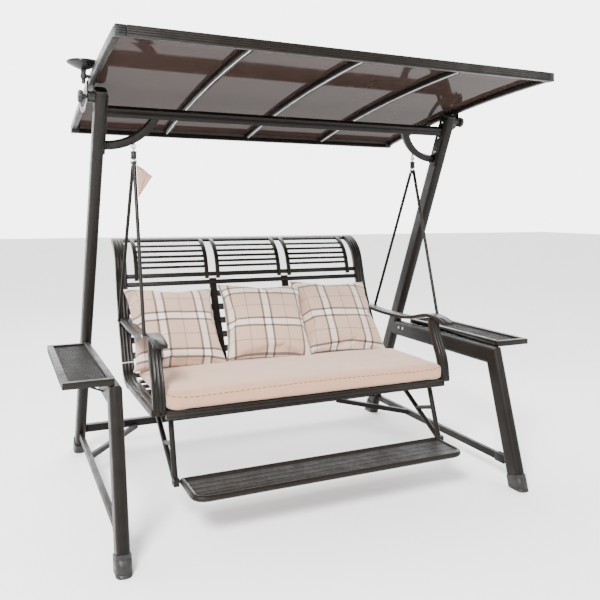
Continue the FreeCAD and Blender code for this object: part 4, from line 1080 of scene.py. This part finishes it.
def make_stitches(cover, centre, half, seam_z):
    """A row of long stitches along the front and sides, laid on top of the cover near its edge."""
    surface = BVHTree.FromObject(cover, bpy.context.evaluated_depsgraph_get())
    ends = [(-half.x, half.y * 0.9), (-half.x, -half.y), (half.x, -half.y), (half.x, half.y * 0.9)]
    outline = rounded_corners([(centre.x + x, centre.y + y, seam_z) for x, y in ends], CUSHION_CORNER)
    build = Build()
    for start, end in walk(outline, STITCH_LONG, STITCH_GAP):
        points = []
        for point in (start, (start + end) / 2, end):
            toward = Vector((centre.x - point.x, centre.y - point.y, 0)).normalized()
            above = Vector((point.x, point.y, centre.z + half.z + 0.05)) + toward * STITCH_IN
            hit, normal, _, _ = surface.ray_cast(above, -Z_AXIS)
            if hit:
                points.append(hit + normal * 0.0003)
        if len(points) == 3:
            build.sweep(points, circle(STITCH_RADIUS, 6), Z_AXIS)
    build.piece("cushion_stitches", "stitch", "seat")


def walk(path, step, gap):
    """Short runs along a path, with gaps between them."""
    lengths = [0.0]
    for a, b in zip(path, path[1:]):
        lengths.append(lengths[-1] + (b - a).length)

    def at(distance):
        for i in range(len(path) - 1):
            if distance <= lengths[i + 1]:
                share = (distance - lengths[i]) / max(1e-9, lengths[i + 1] - lengths[i])
                return path[i].lerp(path[i + 1], share)
        return path[-1]

    runs = []
    distance = 0.0
    while distance + step < lengths[-1]:
        runs.append((at(distance), at(distance + step)))
        distance += step + gap
    return runs


for pillow in PILLOWS:
    make_pillow(*pillow)
make_cushion()


def make_pennant():
    """The folded triangular cloth by the left hanger: two soft layers with a piped edge."""
    low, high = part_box("rod_pennant")
    rod_x = low.x
    top, foot = Vector((rod_x, high.y, high.z)), Vector((rod_x, low.y, low.z))
    down = foot - top
    outer = Vector((high.x, top.y + down.y * PENNANT_CORNER, top.z + down.z * PENNANT_CORNER))
    fold = top.lerp(outer, FOLD_SHARE) + Vector((0, 0, -0.004))
    steps = PENNANT_STEPS
    verts, faces = [], []
    for layer, (corner, lift) in enumerate(((outer, 0.0), (fold, -0.0022))):
        base = len(verts)
        for i in range(steps + 1):
            for j in range(steps + 1):
                u, v = i / steps, j / steps
                edge = top.lerp(corner, u)
                point = edge.lerp(foot, v)
                belly = math.sin(math.pi * u) * math.sin(math.pi * min(1, v * 1.1)) * (1 - v)
                ripple = 0.004 * noise.noise(Vector((u * 4, v * 3, layer * 5)))
                point += Vector((0, lift - 0.006 * belly + ripple * (1 - v), 0.006 * belly * (1 - v)))
                verts.append(point)
        for i in range(steps):
            for j in range(steps):
                a = base + i * (steps + 1) + j
                faces.append((a, a + 1, a + steps + 2, a + steps + 1))
    item = make_piece("pennant_cloth", verts, faces, "pennant", "seat", ("rod_pennant",))
    thick = item.modifiers.new("thickness", "SOLIDIFY")
    thick.thickness = PENNANT_THICK
    thick.offset = 0
    take_shape(item, thick)
    piping = Build()
    bulge = top.lerp(fold, 0.55) + Vector((0, -0.003, 0.003))
    hem = smooth_path([top, bulge, fold, fold.lerp(foot, 0.5), foot], 8)
    ahead = [point + Vector((0, -0.004, 0)) for point in hem]
    piping.sweep(ahead, circle(PIPING_RADIUS, 8), X_AXIS)
    cord = piping.piece("pennant_piping", "piping", "seat")


def make_tie():
    """A thin white tape knotted round the left stile, that holds the seat cushion."""
    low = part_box("left_back_stile")[0]
    z = SEAT_TOP - 0.01
    left, right = low.x - TIE_GAP, low.x + STILE_WIDE + TIE_GAP
    start = Vector((left, TIE_FRONT, z))
    loop = [start, (left, TIE_BACK, z + 0.004), (right, TIE_BACK, z + 0.006),
            (right, TIE_FRONT, z + 0.002), start]
    path = rounded_corners(loop, 0.006, 4)
    tape = Build()
    tape.sweep(path, bar_profile(0.005, 0.001, 0.0004), Z_AXIS)
    tape.piece("cushion_tie", "thread", "seat")


make_pennant()
make_tie()
